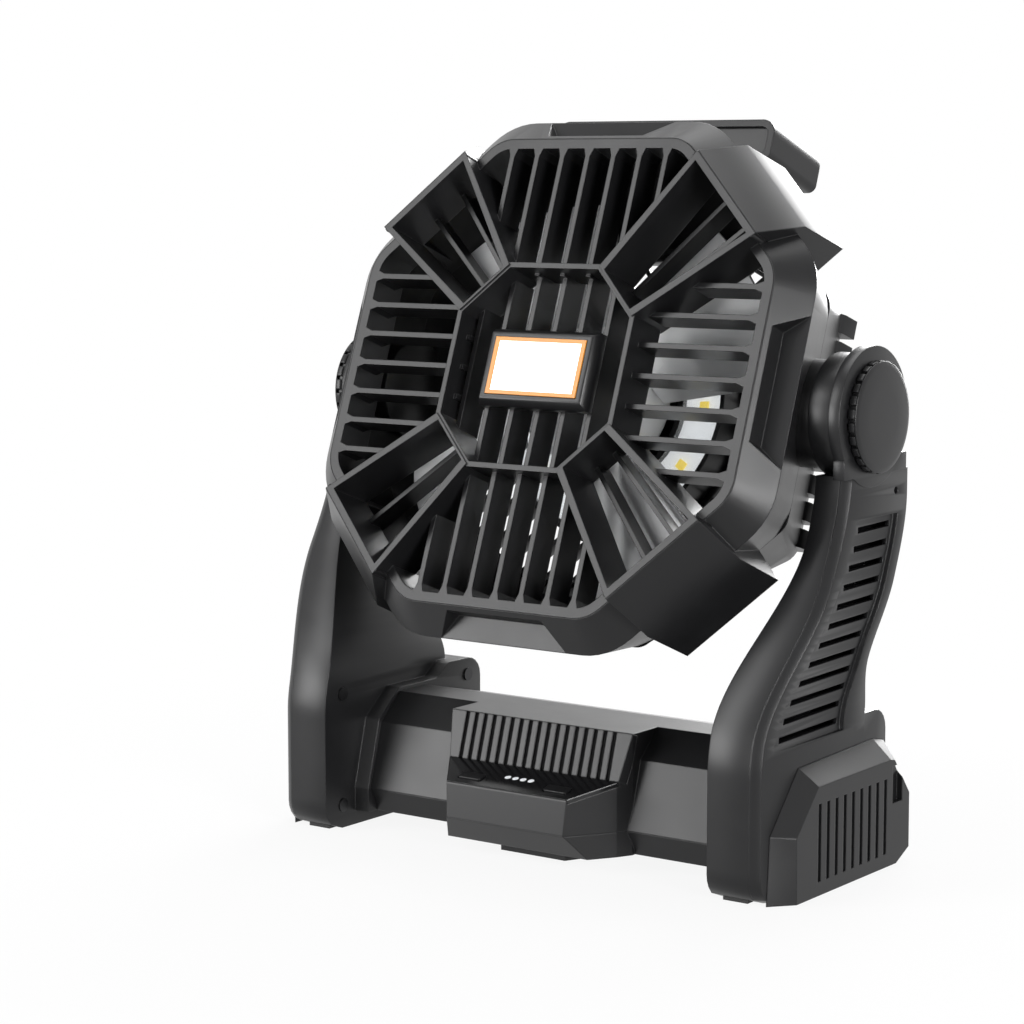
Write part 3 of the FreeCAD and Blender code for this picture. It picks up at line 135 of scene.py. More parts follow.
# Rear shell
shell_wall = 2.4
rear_edge_level = -23.5
rear_edge_half = crease_half - head_taper * (crease_level - rear_edge_level)
rear_edge_height = 76.0
rear_side_corner = 46.0
rear_end_corner = 34.0
rear_corner_radius = 8.0
rear_back_level = -32.0
rear_back_inset = 4.0
rear_rim_width = 6.0
rear_inner_step = 1.5
rib_count = 9
rib_pitch = 10.2
rib_height = 7.0
rib_start = 3.0
rib_sink = 1.2
rib_shoulder = 1.2
rib_shoulder_drop = 1.0
rib_proud = 2.0
rib_root = 8.0
screw_radius = 2.4
screw_margin = 7.0
screw_proud = 0.6
screw_sink = 1.0

# Neck between the rear shell and the box on top: how far up it starts at three levels, and its end
top_neck_half = 33.0
neck_back = -31.7
neck_front = -10.0
neck_foot_back = 71.3
neck_foot_edge = 74.9
neck_foot_front = 83.9
neck_top = 99.5

# Rear grille
rear_hub_radius = 49.0
hub_ring_out = 1.5
hub_ring_in = 0.9
rear_slat_depth = 6.0
rear_slat_thickness = 1.6
rear_slat_pitch = 9.2
rear_slat_half_count = 7
slat_shortest = 1.0
slat_root_sink = 0.5
slat_tip_sink = 1.0
slat_inset = 0.2
grille_fit = 0.1
grille_frame_width = 2.0
spine_half = 1.3
spine_sink = 0.5
spine_inset = 0.1

# Pivot bosses and work light
boss_radius = 19.5
boss_inner_half = 86.0
boss_outer_half = 103.3
light_width = 45.0
light_height = 25.6
light_front = 42.8
light_foot_wider = 3.0
light_foot_higher = 4.0
light_back = 36.0
light_shoulder = 39.6
trim_width = 40.2
trim_height = 21.8
trim_seat = 37.5

# Arms: each face moves from its place at the foot over a stretch of height
arm_top = 147.0
arm_toe_radius = 10.0
arm_foot_front = -58.0
arm_front_sweep = 42.4
arm_front_stretch = (45.0, 150.0)
arm_foot_inner = 86.1
arm_inner_spread = 17.5
arm_inner_stretch = (58.0, 125.0)
arm_foot_outer = 106.6
arm_top_outer = 116.8
arm_outer_stretch = (55.0, 108.0)
arm_waist_height = 80.0
arm_waist_rear = 12.0
arm_foot_rear_spread = 6.0
arm_foot_rear_height = 58.0
arm_rear_sweep = 16.5
arm_rear_high = 138.0
arm_wall = 2.4
arm_hollow_low = 52.0
arm_hollow_drop = 9.0
arm_steps = 60
hollow_steps = 30
arm_hub_radius = 22.3
hub_inner = 103.6

# Plates at the foot of the arms
foot_top = 57.2
ear_front = 8.0
ear_rear = 33.0
ear_seam = 103.0
ear_corner_radius = 8.0
bracket_inner = 79.5
bracket_outer = 87.1
bracket_low = 5.5
bracket_front = -40.0
bracket_nose_top = 14.8
bracket_slope_end = -33.0
bracket_slope_top = 41.5
bracket_shelf = 51.9
bracket_shelf_front = -20.0
bracket_shelf_rear = 4.0
bracket_step = 12.0

# Arm covers and their louvres
arm_band_width = 3.6
arm_band_depth = 2.2
arm_rear_chamfer = 1.2
pocket_depth = 2.0
pocket_front_margin = 9.0
pocket_rear_margin = 2.2
pocket_end_margin = 3.6
pocket_overrun = 3.0
slot_count = 12
slot_pitch = 6.4
slot_half_height = 1.1
slot_inner = 98.0
slot_outer = 125.0
slot_front_margin = 12.0
slot_rear_margin = 9.5
slot_low_shift = 9.0
collar_radius = 25.0
lug_front = -21.0
lug_rear = 24.6
lug_low = 146.4
lug_high = 153.0
cover_screw_radius = 1.4
cover_screw_bottom = 110.0
cover_screw_y = 18.8
cover_screw_z = 139.4

# Knobs
knob_seat = 117.6
left_knob_seat = 106.0
right_knob_radius = 20.0
left_knob_radius = 22.3
knob_gap = 0.3
knob_bore = 0.5
knob_wheel_depth = 2.7
knob_inner_edge = 0.6
knob_outer_edge = 0.4
knob_notch_count = 26
knob_notch_depth = 1.3
knob_notch_half = 0.75
knob_room_end = 130.0
knob_room_gap = 0.8
dome_inset = 0.3
dome_rim = 0.5
dome_slope = 2.0
dome_shoulder = 0.9
dome_half_way = 1.2
dome_height = 1.3
bush_bore = 4.05
bush_radius = 8.0


# Small helpers for node materials

def new_material(name):
    """New material, with its node tree and its shader."""
    material = bpy.data.materials.new(name)
    material.use_nodes = True
    tree = material.node_tree
    shader = tree.nodes["Principled BSDF"]
    return material, tree, shader


def add(tree, kind, **inputs):
    """New node, with its inputs given by socket name."""
    node = tree.nodes.new(kind)
    for socket, value in inputs.items():
        node.inputs[socket.replace("_", " ")].default_value = value
    return node


def link(tree, source, target):
    """Joins an output of one node to an input of another."""
    tree.links.new(source, target)


def noise(tree, scale, detail):
    """Noise over the object's own metres."""
    place = tree.nodes.new("ShaderNodeTexCoord")
    texture = add(tree, "ShaderNodeTexNoise", Scale=scale, Detail=detail)
    link(tree, place.outputs["Object"], texture.inputs["Vector"])
    return texture.outputs["Fac"]


def to_range(tree, source, low, high):
    """Value from 0 to 1, spread over another range."""
    spread = add(tree, "ShaderNodeMapRange", To_Min=low, To_Max=high)
    link(tree, source, spread.inputs["Value"])
    return spread.outputs["Result"]


def mix_colour(tree, share, first, second):
    """Blend of two colours; each is a socket or a plain colour."""
    blend = tree.nodes.new("ShaderNodeMix")
    blend.data_type = "RGBA"
    link(tree, share, blend.inputs["Factor"])
    for socket, value in ((blend.inputs[6], first), (blend.inputs[7], second)):
        if isinstance(value, tuple):
            socket.default_value = value
        else:
            link(tree, value, socket)
    return blend.outputs[2]


def maths(tree, operation, first, second):
    """Result of two values; each is a socket or a plain number."""
    node = tree.nodes.new("ShaderNodeMath")
    node.operation = operation
    for socket, value in zip(node.inputs, (first, second)):
        if isinstance(value, float):
            socket.default_value = value
        else:
            link(tree, value, socket)
    return node.outputs[0]


def shade(colour, factor):
    """Opaque colour, lighter or darker than the one given."""
    return tuple(channel * factor for channel in colour) + (1.0,)


def rounded_edges(tree, radius):
    """Normals that round the edges, and how near a point is to an edge."""
    bevel = tree.nodes.new("ShaderNodeBevel")
    bevel.samples = 6
    bevel.inputs["Radius"].default_value = radius
    face = tree.nodes.new("ShaderNodeNewGeometry")
    likeness = tree.nodes.new("ShaderNodeVectorMath")
    likeness.operation = "DOT_PRODUCT"
    link(tree, bevel.outputs["Normal"], likeness.inputs[0])
    link(tree, face.outputs["Normal"], likeness.inputs[1])
    near_edge = add(tree, "ShaderNodeMapRange", From_Min=likeness_off_edge, From_Max=likeness_on_edge)
    link(tree, likeness.outputs["Value"], near_edge.inputs["Value"])
    return bevel.outputs["Normal"], near_edge.outputs["Result"]


def plastic(name, colour, roughness, grain_depth=0.00002, edge_radius=0.0006, wear_and_highlight=0.5, shine=0.5):
    """Moulded plastic: fine spark-eroded grain, faint mottling, and paler edges that are partly wear and
    partly painted highlight.
    """
    material, tree, shader = new_material(name)
    shader.inputs["Specular IOR Level"].default_value = shine
    soft_normal, near_edge = rounded_edges(tree, edge_radius)
    grain = noise(tree, grain_scale, 3.0)
    mottle = noise(tree, mottle_scale, 4.0)
    bump = add(tree, "ShaderNodeBump", Strength=grain_strength, Distance=grain_depth)
    link(tree, grain, bump.inputs["Height"])
    link(tree, soft_normal, bump.inputs["Normal"])
    link(tree, bump.outputs["Normal"], shader.inputs["Normal"])
    body = mix_colour(tree, mottle, shade(colour, 1.0 - mottle_spread), shade(colour, 1.0 + mottle_spread))
    # Paler edge colour: partly wear, partly a painted highlight standing in for light caught on the rounded
    # edges
    worn_and_highlit = tuple(min(channel * wear_and_highlight_factor + wear_and_highlight_lift, 1.0) for channel in colour) + (1.0,)
    edge_share = maths(tree, "MULTIPLY", near_edge, wear_and_highlight)
    link(tree, mix_colour(tree, edge_share, body, worn_and_highlit), shader.inputs["Base Color"])
    mottled = to_range(tree, mottle, roughness - roughness_spread, roughness + roughness_spread)
    link(tree, mottled, shader.inputs["Roughness"])
    return material


def metal(name, colour, roughness):
    """Plain turned or drawn metal, with fine marks."""
    material, tree, shader = new_material(name)
    shader.inputs["Metallic"].default_value = 1.0
    marks = noise(tree, 900.0, 5.0)
    link(tree, mix_colour(tree, marks, shade(colour, 0.8), shade(colour, 1.1)), shader.inputs["Base Color"])
    link(tree, to_range(tree, marks, roughness - 0.08, roughness + 0.1), shader.inputs["Roughness"])
    return material


def glowing_lens():
    """Milky diffuser, lit from behind."""
    material, tree, shader = new_material("glowing_lens")
    cloud = noise(tree, 120.0, 2.0)
    milky = mix_colour(tree, cloud, (0.9, 0.9, 0.9, 1.0), (1.0, 1.0, 0.98, 1.0))
    link(tree, milky, shader.inputs["Base Color"])
    shader.inputs["Roughness"].default_value = 0.35
    shader.inputs["Emission Color"].default_value = (1.0, 0.99, 0.96, 1.0)
    shader.inputs["Emission Strength"].default_value = 0.9
    return material


def glowing(name, colour, strength):
    """Moulding or chip of the ring light, made to glow: the chips as the lamps they are, the moulding with
    painted light from the chips.
    """
    material, tree, shader = new_material(name)
    cloud = noise(tree, 300.0, 2.0)
    full = shade(colour, 1.0)
    link(tree, mix_colour(tree, cloud, shade(colour, 0.93), full), shader.inputs["Base Color"])
    shader.inputs["Roughness"].default_value = 0.35
    shader.inputs["Emission Color"].default_value = full
    shader.inputs["Emission Strength"].default_value = strength
    return material


def clear_cover():
    """Clear moulded cover, with faint ripples."""
    material, tree, shader = new_material("clear_cover")
    ripple = noise(tree, 320.0, 1.0)
    bump = add(tree, "ShaderNodeBump", Strength=0.25, Distance=0.0001)
    link(tree, ripple, bump.inputs["Height"])
    link(tree, bump.outputs["Normal"], shader.inputs["Normal"])
    shader.inputs["Base Color"].default_value = (0.95, 0.97, 0.98, 1.0)
    shader.inputs["Roughness"].default_value = 0.08
    shader.inputs["IOR"].default_value = 1.49
    shader.inputs["Alpha"].default_value = 0.25
    return material


def make_materials():
    """One material per slot of the part."""
    charcoal = (0.0065, 0.0065, 0.007)
    return {
        "dark_shell": plastic("dark_shell", charcoal, 0.34, shine=0.27),
        "dark_grille": plastic("dark_grille", charcoal, 0.32, edge_radius=0.0004, shine=0.3),
        "gloss_black": plastic("gloss_black", (0.006, 0.006, 0.0065), 0.12, grain_depth=0.000004, wear_and_highlight=0.2),
        "blade_grey": plastic("blade_grey", (0.8, 0.805, 0.81), 0.26, grain_depth=0.000006, wear_and_highlight=0.2),
        "white_plastic": plastic("white_plastic", (0.74, 0.75, 0.76), 0.4, grain_depth=0.00001, wear_and_highlight=0.1),
        "amber_trim": plastic("amber_trim", (0.5, 0.19, 0.02), 0.35, grain_depth=0.000006,
                              edge_radius=0.0003),
        "light_lens": glowing_lens(),
        "yellow_chip": plastic("yellow_chip", (0.85, 0.66, 0.06), 0.35, grain_depth=0.000004, wear_and_highlight=0.1),
        "clear_cover": clear_cover(),
        "green_board": plastic("green_board", (0.02, 0.12, 0.045), 0.35, grain_depth=0.000008),
        "steel": metal("steel", (0.52, 0.52, 0.53), 0.3),
        "black_screw": metal("black_screw", (0.05, 0.05, 0.052), 0.35),
        "motor_steel": metal("motor_steel", (0.14, 0.14, 0.145), 0.38),
        "bearing_steel": metal("bearing_steel", (0.62, 0.62, 0.63), 0.15),
        "brass_bush": metal("brass_bush", (0.62, 0.45, 0.18), 0.3),
        "cell_wrap": plastic("cell_wrap", (0.03, 0.14, 0.36), 0.3, grain_depth=0.000004),
        "rubber_black": plastic("rubber_black", (0.016, 0.016, 0.016), 0.8, grain_depth=0.00005, wear_and_highlight=0.1),
        "white_dot": plastic("white_dot", (0.85, 0.87, 0.9), 0.3, grain_depth=0.000004, wear_and_highlight=0.0),
    }


def dress_nodes(materials):
    """Gives each node the material of its slot."""
    for part in frame["record"]["subparts"]:
        node = frame["nodes"][part["node"]]
        node.data.materials.clear()
        node.data.materials.append(materials[part["material_slot"]])
    # The ring light's board is no lamp: its glow is painted light, standing in for the light its chips shed
    # on it. The chips glow as lamps.
    board = frame["nodes"]["ring_light_board"].data.materials
    board[0] = glowing("ring_board_painted_glow", (0.86, 0.88, 0.9), 0.75)
    chips = frame["nodes"]["ring_light_chips"].data.materials
    chips[0] = glowing("ring_chip", (0.9, 0.68, 0.05), 0.8)


# Forms that the scene shapes itself. Points of the head are u to the right, v up the face and w to
# the front, all from the tilt axis; points of the stand are X, Y and Z.


def smooth_step(value, low, high):
    """Share from 0 to 1 between two values, level at both ends."""
    share = min(max((value - low) / (high - low), 0.0), 1.0)
    return share * share * (3.0 - 2.0 * share)


def in_head(point):
    """Point of the head, placed in the fan at rest."""
    across, up, front = point
    y = up * math.sin(tilt_at_rest) - front * math.cos(tilt_at_rest)
    z = up * math.cos(tilt_at_rest) + front * math.sin(tilt_at_rest)
    return across, y, pivot_height + z


def in_stand(point):
    """Point of the stand, which is in place already."""
    return point


def solid(name, sections, place=in_stand, closed=False):
    """Closed skin through sections of equally many points, with end caps or joined end to end."""
    count = len(sections[0])
    mesh = bpy.data.meshes.new(name)
    vertices = [Vector(place(point)) * millimetre for section in sections for point in section]
    faces = []
    for step in range(len(sections) if closed else len(sections) - 1):
        low = step * count
        high = (step + 1) % len(sections) * count
        for index in range(count):
            after = (index + 1) % count
            faces.append((low + index, low + after, high + after, high + index))
    if not closed:
        faces.append(tuple(range(count)))
        faces.append(tuple(range(len(vertices) - count, len(vertices))))
    mesh.from_pydata(vertices, [], faces)
    shape = bmesh.new()
    shape.from_mesh(mesh)
    bmesh.ops.remove_doubles(shape, verts=shape.verts, dist=1e-6)
    bmesh.ops.recalc_face_normals(shape, faces=shape.faces)
    shape.to_mesh(mesh)
    shape.free()
    body = bpy.data.objects.new(name, mesh)
    bpy.context.scene.collection.objects.link(body)
    return body


def join(name, bodies):
    """One object from several that don't touch."""
    shape = bmesh.new()
    for body in bodies:
        shape.from_mesh(body.data)
        bpy.data.objects.remove(body)
    mesh = bpy.data.meshes.new(name)
    shape.to_mesh(mesh)
    shape.free()
    joined = bpy.data.objects.new(name, mesh)
    bpy.context.scene.collection.objects.link(joined)
    return joined


def combine(body, other, operation):
    """Adds, cuts or keeps the common part of another solid, which is used up."""
    step = body.modifiers.new(operation, "BOOLEAN")
    step.operation = operation
    step.solver = "EXACT"
    step.object = other
    graph = bpy.context.evaluated_depsgraph_get()
    result = bpy.data.meshes.new_from_object(body.evaluated_get(graph))
    body.modifiers.clear()
    body.data = result
    bpy.data.objects.remove(other)


def finish_piece(body, slot_name, rides, stands_for, edge=0.35):
    """Small real bevels, smooth curves, material slot, body and the CAD nodes it stands for."""
    material = materials[slot_name]
    body.data.materials.clear()
    body.data.materials.append(material)
    bevel = body.modifiers.new("edges", "BEVEL")
    bevel.width = edge * millimetre
    bevel.segments = 2
    bevel.limit_method = "ANGLE"
    bevel.angle_limit = smooth_angle
    bevel.use_clamp_overlap = True
    graph = bpy.context.evaluated_depsgraph_get()
    body.data = bpy.data.meshes.new_from_object(body.evaluated_get(graph))
    body.modifiers.clear()
    body.data.shade_smooth()
    body.data.set_sharp_from_angle(angle=smooth_angle)
    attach(body, rides)
    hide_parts(*stands_for)


def rounded(points, radii, steps=5):
    """Flat outline with its corners rounded by arcs."""
    outline = []
    count = len(points)
    for index in range(count):
        here = Vector(points[index])
        back = (Vector(points[index - 1]) - here).normalized()
        ahead = (Vector(points[(index + 1) % count]) - here).normalized()
        if radii[index] == 0:
            outline.append(tuple(here))
            continue
        half_angle = back.angle(ahead) / 2.0
        centre = here + (back + ahead).normalized() * (radii[index] / math.sin(half_angle))
        start = here + back * (radii[index] / math.tan(half_angle)) - centre
        end = here + ahead * (radii[index] / math.tan(half_angle)) - centre
        for step in range(steps + 1):
            share = step / steps
            swing = start.angle(end)
            first = math.sin((1.0 - share) * swing) / math.sin(swing)
            second = math.sin(share * swing) / math.sin(swing)
            outline.append(tuple(centre + start * first + end * second))
    return outline


def side_prism(name, points, x_low, x_high):
    """Solid along X from an outline given as Y and Z."""
    return solid(name, [[(x, y, z) for y, z in points] for x in (x_low, x_high)])


def block(name, low, high, place=in_stand):
    """Box between two opposite corners."""
    plan = [(low[0], low[1]), (high[0], low[1]), (high[0], high[1]), (low[0], high[1])]
    return solid(name, [[(x, y, z) for x, y in plan] for z in (low[2], high[2])], place)


def circle(radius, steps, across=0.0, up=0.0):
    """Points round a circle, from its first axis to its second."""
    turns = [2.0 * math.pi * index / steps for index in range(steps)]
    return [(across + radius * math.cos(turn), up + radius * math.sin(turn)) for turn in turns]


def tube_x(name, radius, x_low, x_high, y=0.0, z=pivot_height, steps=96):
    """Cylinder along X, about the tilt axis where no other place is given."""
    return side_prism(name, circle(radius, steps, y, z), x_low, x_high)


def turned_x(name, outline, steps=104):
    """Solid of revolution about the tilt axis, from radius and X."""
    sections = [[(x, radius * across, pivot_height + radius * up) for radius, x in outline]
                for across, up in circle(1.0, steps)]
    return solid(name, sections, closed=True)


def four_round(name, ends, first):
    """Four solids round the head's axis, a quarter turn apart, from the end faces of the first."""
    solids = []
    for index in range(4):
        angle = math.radians(first + 90.0 * index)
        turned = [[(u * math.cos(angle) - v * math.sin(angle), u * math.sin(angle) + v * math.cos(angle), w)
                   for u, v, w in points] for points in ends]
        solids.append(solid(name, turned, in_head))
    return solids


def head_ring(half, diagonal, radius, level, steps=6):
    """Rounded octagon across the head's axis."""
    short = diagonal * math.sqrt(2.0) - half
    flat = [(half, short), (short, half), (-short, half), (-half, short)]
    flat = flat + [(-u, -v) for u, v in flat]
    return [(u, v, level) for u, v in rounded(flat, [radius] * 8, steps)]


def grown_ring(growth, level):
    """Outline of the front opening, moved outwards."""
    return head_ring(opening_half + growth, opening_diagonal + growth, opening_corner_radius + growth, level)


# Front bezel, with its corner blocks and the notches in its four long facets

def bezel_blocks(name, outline, half_width):
    """Prisms across the four diagonals, from an outline of distance and level."""
    ends = [[(distance, side * half_width, level) for distance, level in outline] for side in (-1, 1)]
    return four_round(name, ends, 45.0)


def notch_blocks(name, grow):
    """Notches whose floors run level out to the crease and whose inner walls stand square."""
    run = crease_half - opening_half - strip_growth - notch_margin
    slope = notch_rise / run
    spread = (notch_outer_half - notch_inner_half) / run
    wall = opening_half + strip_growth + notch_margin - (notch_wall if grow else 0.0)
    reach = crease_half + notch_past_crease
    inner_half = notch_inner_half + grow
    outer_half = inner_half + spread * (reach - wall)
    plan = [(wall, -inner_half), (reach, -outer_half), (reach, outer_half), (wall, inner_half)]
    floor = [(u, v, crease_level + (crease_half - u) * slope - grow) for u, v in plan]
    top = [(u, v, box_front + notch_past_boxes) for u, v in plan]
    return four_round(name, [floor, top], 0.0)


def grille_box_blocks(name, low, high, grow):
    """Wedges across the four diagonals, from the grille's ring out to the corners."""
    start = (ring_half + ring_side_half) / math.sqrt(2.0)
    start_half = (ring_half - ring_side_half) / math.sqrt(2.0) + grow
    far = box_outer_distance + grow
    far_half = box_outer_half + grow
    plan = [(start, -start_half), (far, -far_half), (far, far_half), (start, start_half)]
    ends = [[(u, v, level) for u, v in plan] for level in (low, high)]
    return four_round(name, ends, 45.0)


def bezel_rings(inset_by):
    """Flared octagons of the bezel's outer or inner skin, at the split and at the crease."""
    return [grown_ring(split_half - opening_half - inset_by, split_level),
            grown_ring(crease_half - opening_half - inset_by, crease_level - inset_by / 2.0)]


def opening_block(growth, low, high):
    """Solid that clears the front opening between two levels."""
    return solid("opening", [grown_ring(growth, low), grown_ring(growth, high)], in_head)


def corner_blocks():
    """Hollow blocks at the four corners, cut back to the front opening."""
    inner = opening_diagonal * block_inner_share
    outline = [(inner, block_low), (block_back_distance, block_low),
               (block_crease_distance, block_crease_level),
               (box_outer_distance + seam_gap, box_front), (inner, box_front)]
    start = inner - short_overrun
    back = block_low + block_back_wall
    front = box_front - bezel_wall
    hollow = [(start, back), (block_back_distance - bezel_wall, back),
              (block_crease_distance - bezel_wall, block_crease_level - bezel_wall / 2.0),
              (box_outer_distance - bezel_wall, front), (start, front)]
    blocks = bezel_blocks("block", outline, box_outer_half)
    hollows = bezel_blocks("hollow", hollow, box_outer_half - bezel_wall)
    for one, space in zip(blocks, hollows):
        opening = opening_block(strip_growth - block_offset, block_low - cut_overrun, box_front + cut_overrun)
        combine(one, space, "DIFFERENCE")
        combine(one, opening, "DIFFERENCE")
    return blocks


def notch_linings(seat):
    """Walls behind the notches, kept inside the bezel and clear of its opening."""
    form = solid("form", bezel_rings(0.0) + [grown_ring(strip_growth, strip_level)], in_head)
    lining = join("linings", notch_blocks("lining", notch_lining))
    opening = opening_block(strip_growth + lining_offset, seat - lining_cut_depth, box_front + cut_overrun)
    combine(lining, form, "INTERSECT")
    combine(lining, opening, "DIFFERENCE")
    return lining


def front_bezel():
    """Flared bezel with its strip and seat, corner blocks and notches."""
    seat = strip_level - flange_thickness
    strip = [grown_ring(strip_growth, strip_level), grown_ring(strip_growth, seat),
             grown_ring(seat_growth, seat)]
    rings = bezel_rings(0.0) + strip + bezel_rings(bezel_wall)[::-1]
    bezel = solid("bezel_flared", rings, in_head, closed=True)
    for one in corner_blocks():
        combine(bezel, one, "UNION")
    combine(bezel, notch_linings(seat), "UNION")
    for one in grille_box_blocks("box", box_front - box_depth, box_front + cut_overrun, seam_gap):
        combine(bezel, one, "DIFFERENCE")
    for one in notch_blocks("notch", 0.0):
        combine(bezel, one, "DIFFERENCE")
    finish_piece(bezel, "dark_shell", "head", ["front_bezel"])


# Rear shell, tapering to the back, with rows of side ribs

def rear_corners(grow, level):
    """Rounded outline of the tapered back, moved outwards."""
    side = rear_edge_half + grow
    end = rear_edge_height + grow
    flat = [(side, rear_side_corner), (rear_end_corner, end),
            (-rear_end_corner, end), (-side, rear_side_corner)]
    flat = flat + [(-u, -v) for u, v in flat]
    return [(u, v, level) for u, v in rounded(flat, [rear_corner_radius] * 8)]


def split_ring(grow, level):
    """Outline of the shell where it meets the bezel, moved outwards."""
    return head_ring(split_half + grow, opening_diagonal + split_half - opening_half + grow,
                     rear_corner_radius, level, 5)


def side_ribs():
    """Rows of ribs on the two sides of the tapered back."""
    side_face = rear_edge_half
    profile = [(side_face - rib_sink, rear_edge_level + rib_start),
               (side_face + rib_shoulder, rear_edge_level - rib_shoulder_drop),
               (side_face + rib_proud, rear_back_level), (side_face - rib_root, rear_back_level)]
    ribs = []
    for index in range(rib_count):
        middle = (index - (rib_count - 1) / 2.0) * rib_pitch
        for side in (-1, 1):
            ends = [[(side * u, v, w) for u, w in profile]
                    for v in (middle - rib_height / 2.0, middle + rib_height / 2.0)]
            ribs.append(solid("rib", ends, in_head))
    return join("ribs", ribs)


def top_neck():
    """Neck that carries the box on top."""
    profile = [(neck_foot_back, neck_back), (neck_foot_edge, rear_edge_level), (neck_foot_front, neck_front),
               (neck_top, neck_front), (neck_top, neck_back)]
    ends = [[(u, v, w) for v, w in profile] for u in (-top_neck_half, top_neck_half)]
    return solid("neck", ends, in_head)


def rear_shell():
    """Tapered shell with an open back, its side ribs and its neck."""
    opening = -rear_back_inset - rear_rim_width
    inner_level = rear_back_level + shell_wall
    rings = [split_ring(0.0, split_level), rear_corners(0.0, rear_edge_level),
             rear_corners(-rear_back_inset, rear_back_level), rear_corners(opening, rear_back_level),
             rear_corners(opening, inner_level),
             rear_corners(-rear_back_inset - rear_inner_step, inner_level),
             rear_corners(-shell_wall, rear_edge_level), split_ring(-shell_wall, split_level)]
    shell = solid("rear_shell_tapered", rings, in_head, closed=True)
    combine(shell, side_ribs(), "UNION")
    shell = join("rear_shell_tapered", [shell, top_neck()])
    finish_piece(shell, "dark_shell", "head", ["rear_shell"])


def rear_screws():
    """Screw heads at the middles of the four corner edges of the back."""
    across = (rear_edge_half - screw_margin + rear_end_corner) / 2.0
    up = (rear_edge_height - screw_margin + rear_side_corner) / 2.0
    screws = []
    for u, v in ((across, up), (-across, up), (-across, -up), (across, -up)):
        ends = [[(x, y, level) for x, y in circle(screw_radius, 24, u, v)]
                for level in (rear_back_level - screw_proud, rear_back_level + screw_sink)]
        screws.append(solid("screw", ends, in_head))
    finish_piece(join("shell_screws", screws), "black_screw", "head", ["head_screws"], 0.2)


def slat_reach(offset):
    """Start and end of a slanting slat, from the hub ring or a spine to the opening's edge."""
    side = rear_edge_half - rear_back_inset - rear_rim_width
    end = rear_edge_height - rear_back_inset - rear_rim_width
    root = math.sqrt(2.0)
    start = max(abs(offset), math.sqrt(max(rear_hub_radius ** 2 - offset ** 2, 0.0)))
    normal = Vector((end - rear_side_corner, side - rear_end_corner)).normalized()
    limit = normal.dot(Vector((side, rear_side_corner)))
    corner = (limit * root - offset * (normal.y - normal.x)) / (normal.x + normal.y)
    return start, min(side * root + offset, end * root - offset, corner)


def grille_slats(low, high):
    """Slats of the four quarters, slanting outwards."""
    half = rear_slat_thickness / 2.0
    slats = []
    for index in range(-rear_slat_half_count, rear_slat_half_count + 1):
        offset = index * rear_slat_pitch
        start, stop = slat_reach(offset)
        if stop - start < slat_shortest:
            continue
        root = start - slat_root_sink
        tip = stop + slat_tip_sink
        flat = [(root, offset - half), (tip, offset - half), (tip, offset + half), (root, offset + half)]
        for mirror_u, mirror_v in ((1, 1), (-1, 1), (-1, -1), (1, -1)):
            plan = [(mirror_u * (s - t) / math.sqrt(2.0), mirror_v * (s + t) / math.sqrt(2.0))
                    for s, t in flat]
            ends = [[(u, v, level) for u, v in plan] for level in (low + slat_inset, high - slat_inset)]
            slats.append(solid("slat", ends, in_head))
    return slats


def grille_spines(low, high):
    """Four short bars from the hub ring to the frame, along the head's two axes."""
    side = rear_edge_half - rear_back_inset - rear_rim_width - spine_sink
    end = rear_edge_height - rear_back_inset - rear_rim_width - spine_sink
    low = low + spine_inset
    high = high - spine_inset
    spines = []
    for sign in (-1, 1):
        left, right = sorted((sign * rear_hub_radius, sign * side))
        lower, upper = sorted((sign * rear_hub_radius, sign * end))
        spines.append(block("spine", (left, -spine_half, low), (right, spine_half, high), in_head))
        spines.append(block("spine", (-spine_half, lower, low), (spine_half, upper, high), in_head))
    return spines


def rear_grille():
    """Frame, hub ring, slats and spines, clear of each other's skins."""
    low = rear_back_level
    high = rear_back_level + rear_slat_depth
    outer = -rear_back_inset - rear_rim_width - grille_fit
    inner = -rear_back_inset - rear_rim_width - grille_frame_width
    frame_rings = [rear_corners(outer, low), rear_corners(outer, high),
                   rear_corners(inner, high), rear_corners(inner, low)]
    wide = rear_hub_radius + hub_ring_out
    narrow = rear_hub_radius - hub_ring_in
    hub_rings = [[(u, v, level) for u, v in circle(radius, 72)]
                 for radius, level in ((wide, low), (wide, high), (narrow, high), (narrow, low))]
    parts = [solid("frame", frame_rings, in_head, closed=True), solid("hub", hub_rings, in_head, closed=True)]
    parts = parts + grille_slats(low, high) + grille_spines(low, high)
    finish_piece(join("rear_grille_slanted", parts), "dark_grille", "head", ["rear_grille"], 0.2)


def pivot_bosses():
    """Round bosses on the head's two sides, about the tilt axis."""
    for side, name in ((1, "right"), (-1, "left")):
        ends = oriented(boss_inner_half, boss_outer_half, side)
        body = tube_x("boss_" + name, boss_radius, ends[0], ends[1])
        finish_piece(body, "dark_shell", "head", ["pivot_boss_" + name], 0.6)


# Work light

def frustum_rings(levels):
    """Boxes about the head's middle, from width, height and level."""
    rings = []
    for width, height, level in levels:
        u = width / 2.0
        v = height / 2.0
        rings.append([(u, -v, level), (u, v, level), (-u, v, level), (-u, -v, level)])
    return rings


def light_housing():
    """Housing with a bevelled front and a recess for the trim."""
    foot_width = light_width + light_foot_wider
    foot_height = light_height + light_foot_higher
    levels = [(foot_width, foot_height, light_back), (foot_width, foot_height, light_shoulder),
              (light_width, light_height, light_front), (trim_width, trim_height, light_front),
              (trim_width, trim_height, trim_seat)]
    body = solid("light_housing_bevelled", frustum_rings(levels), in_head)
    finish_piece(body, "dark_grille", "head", ["light_housing"], 0.4)


# Arms, covers and knobs

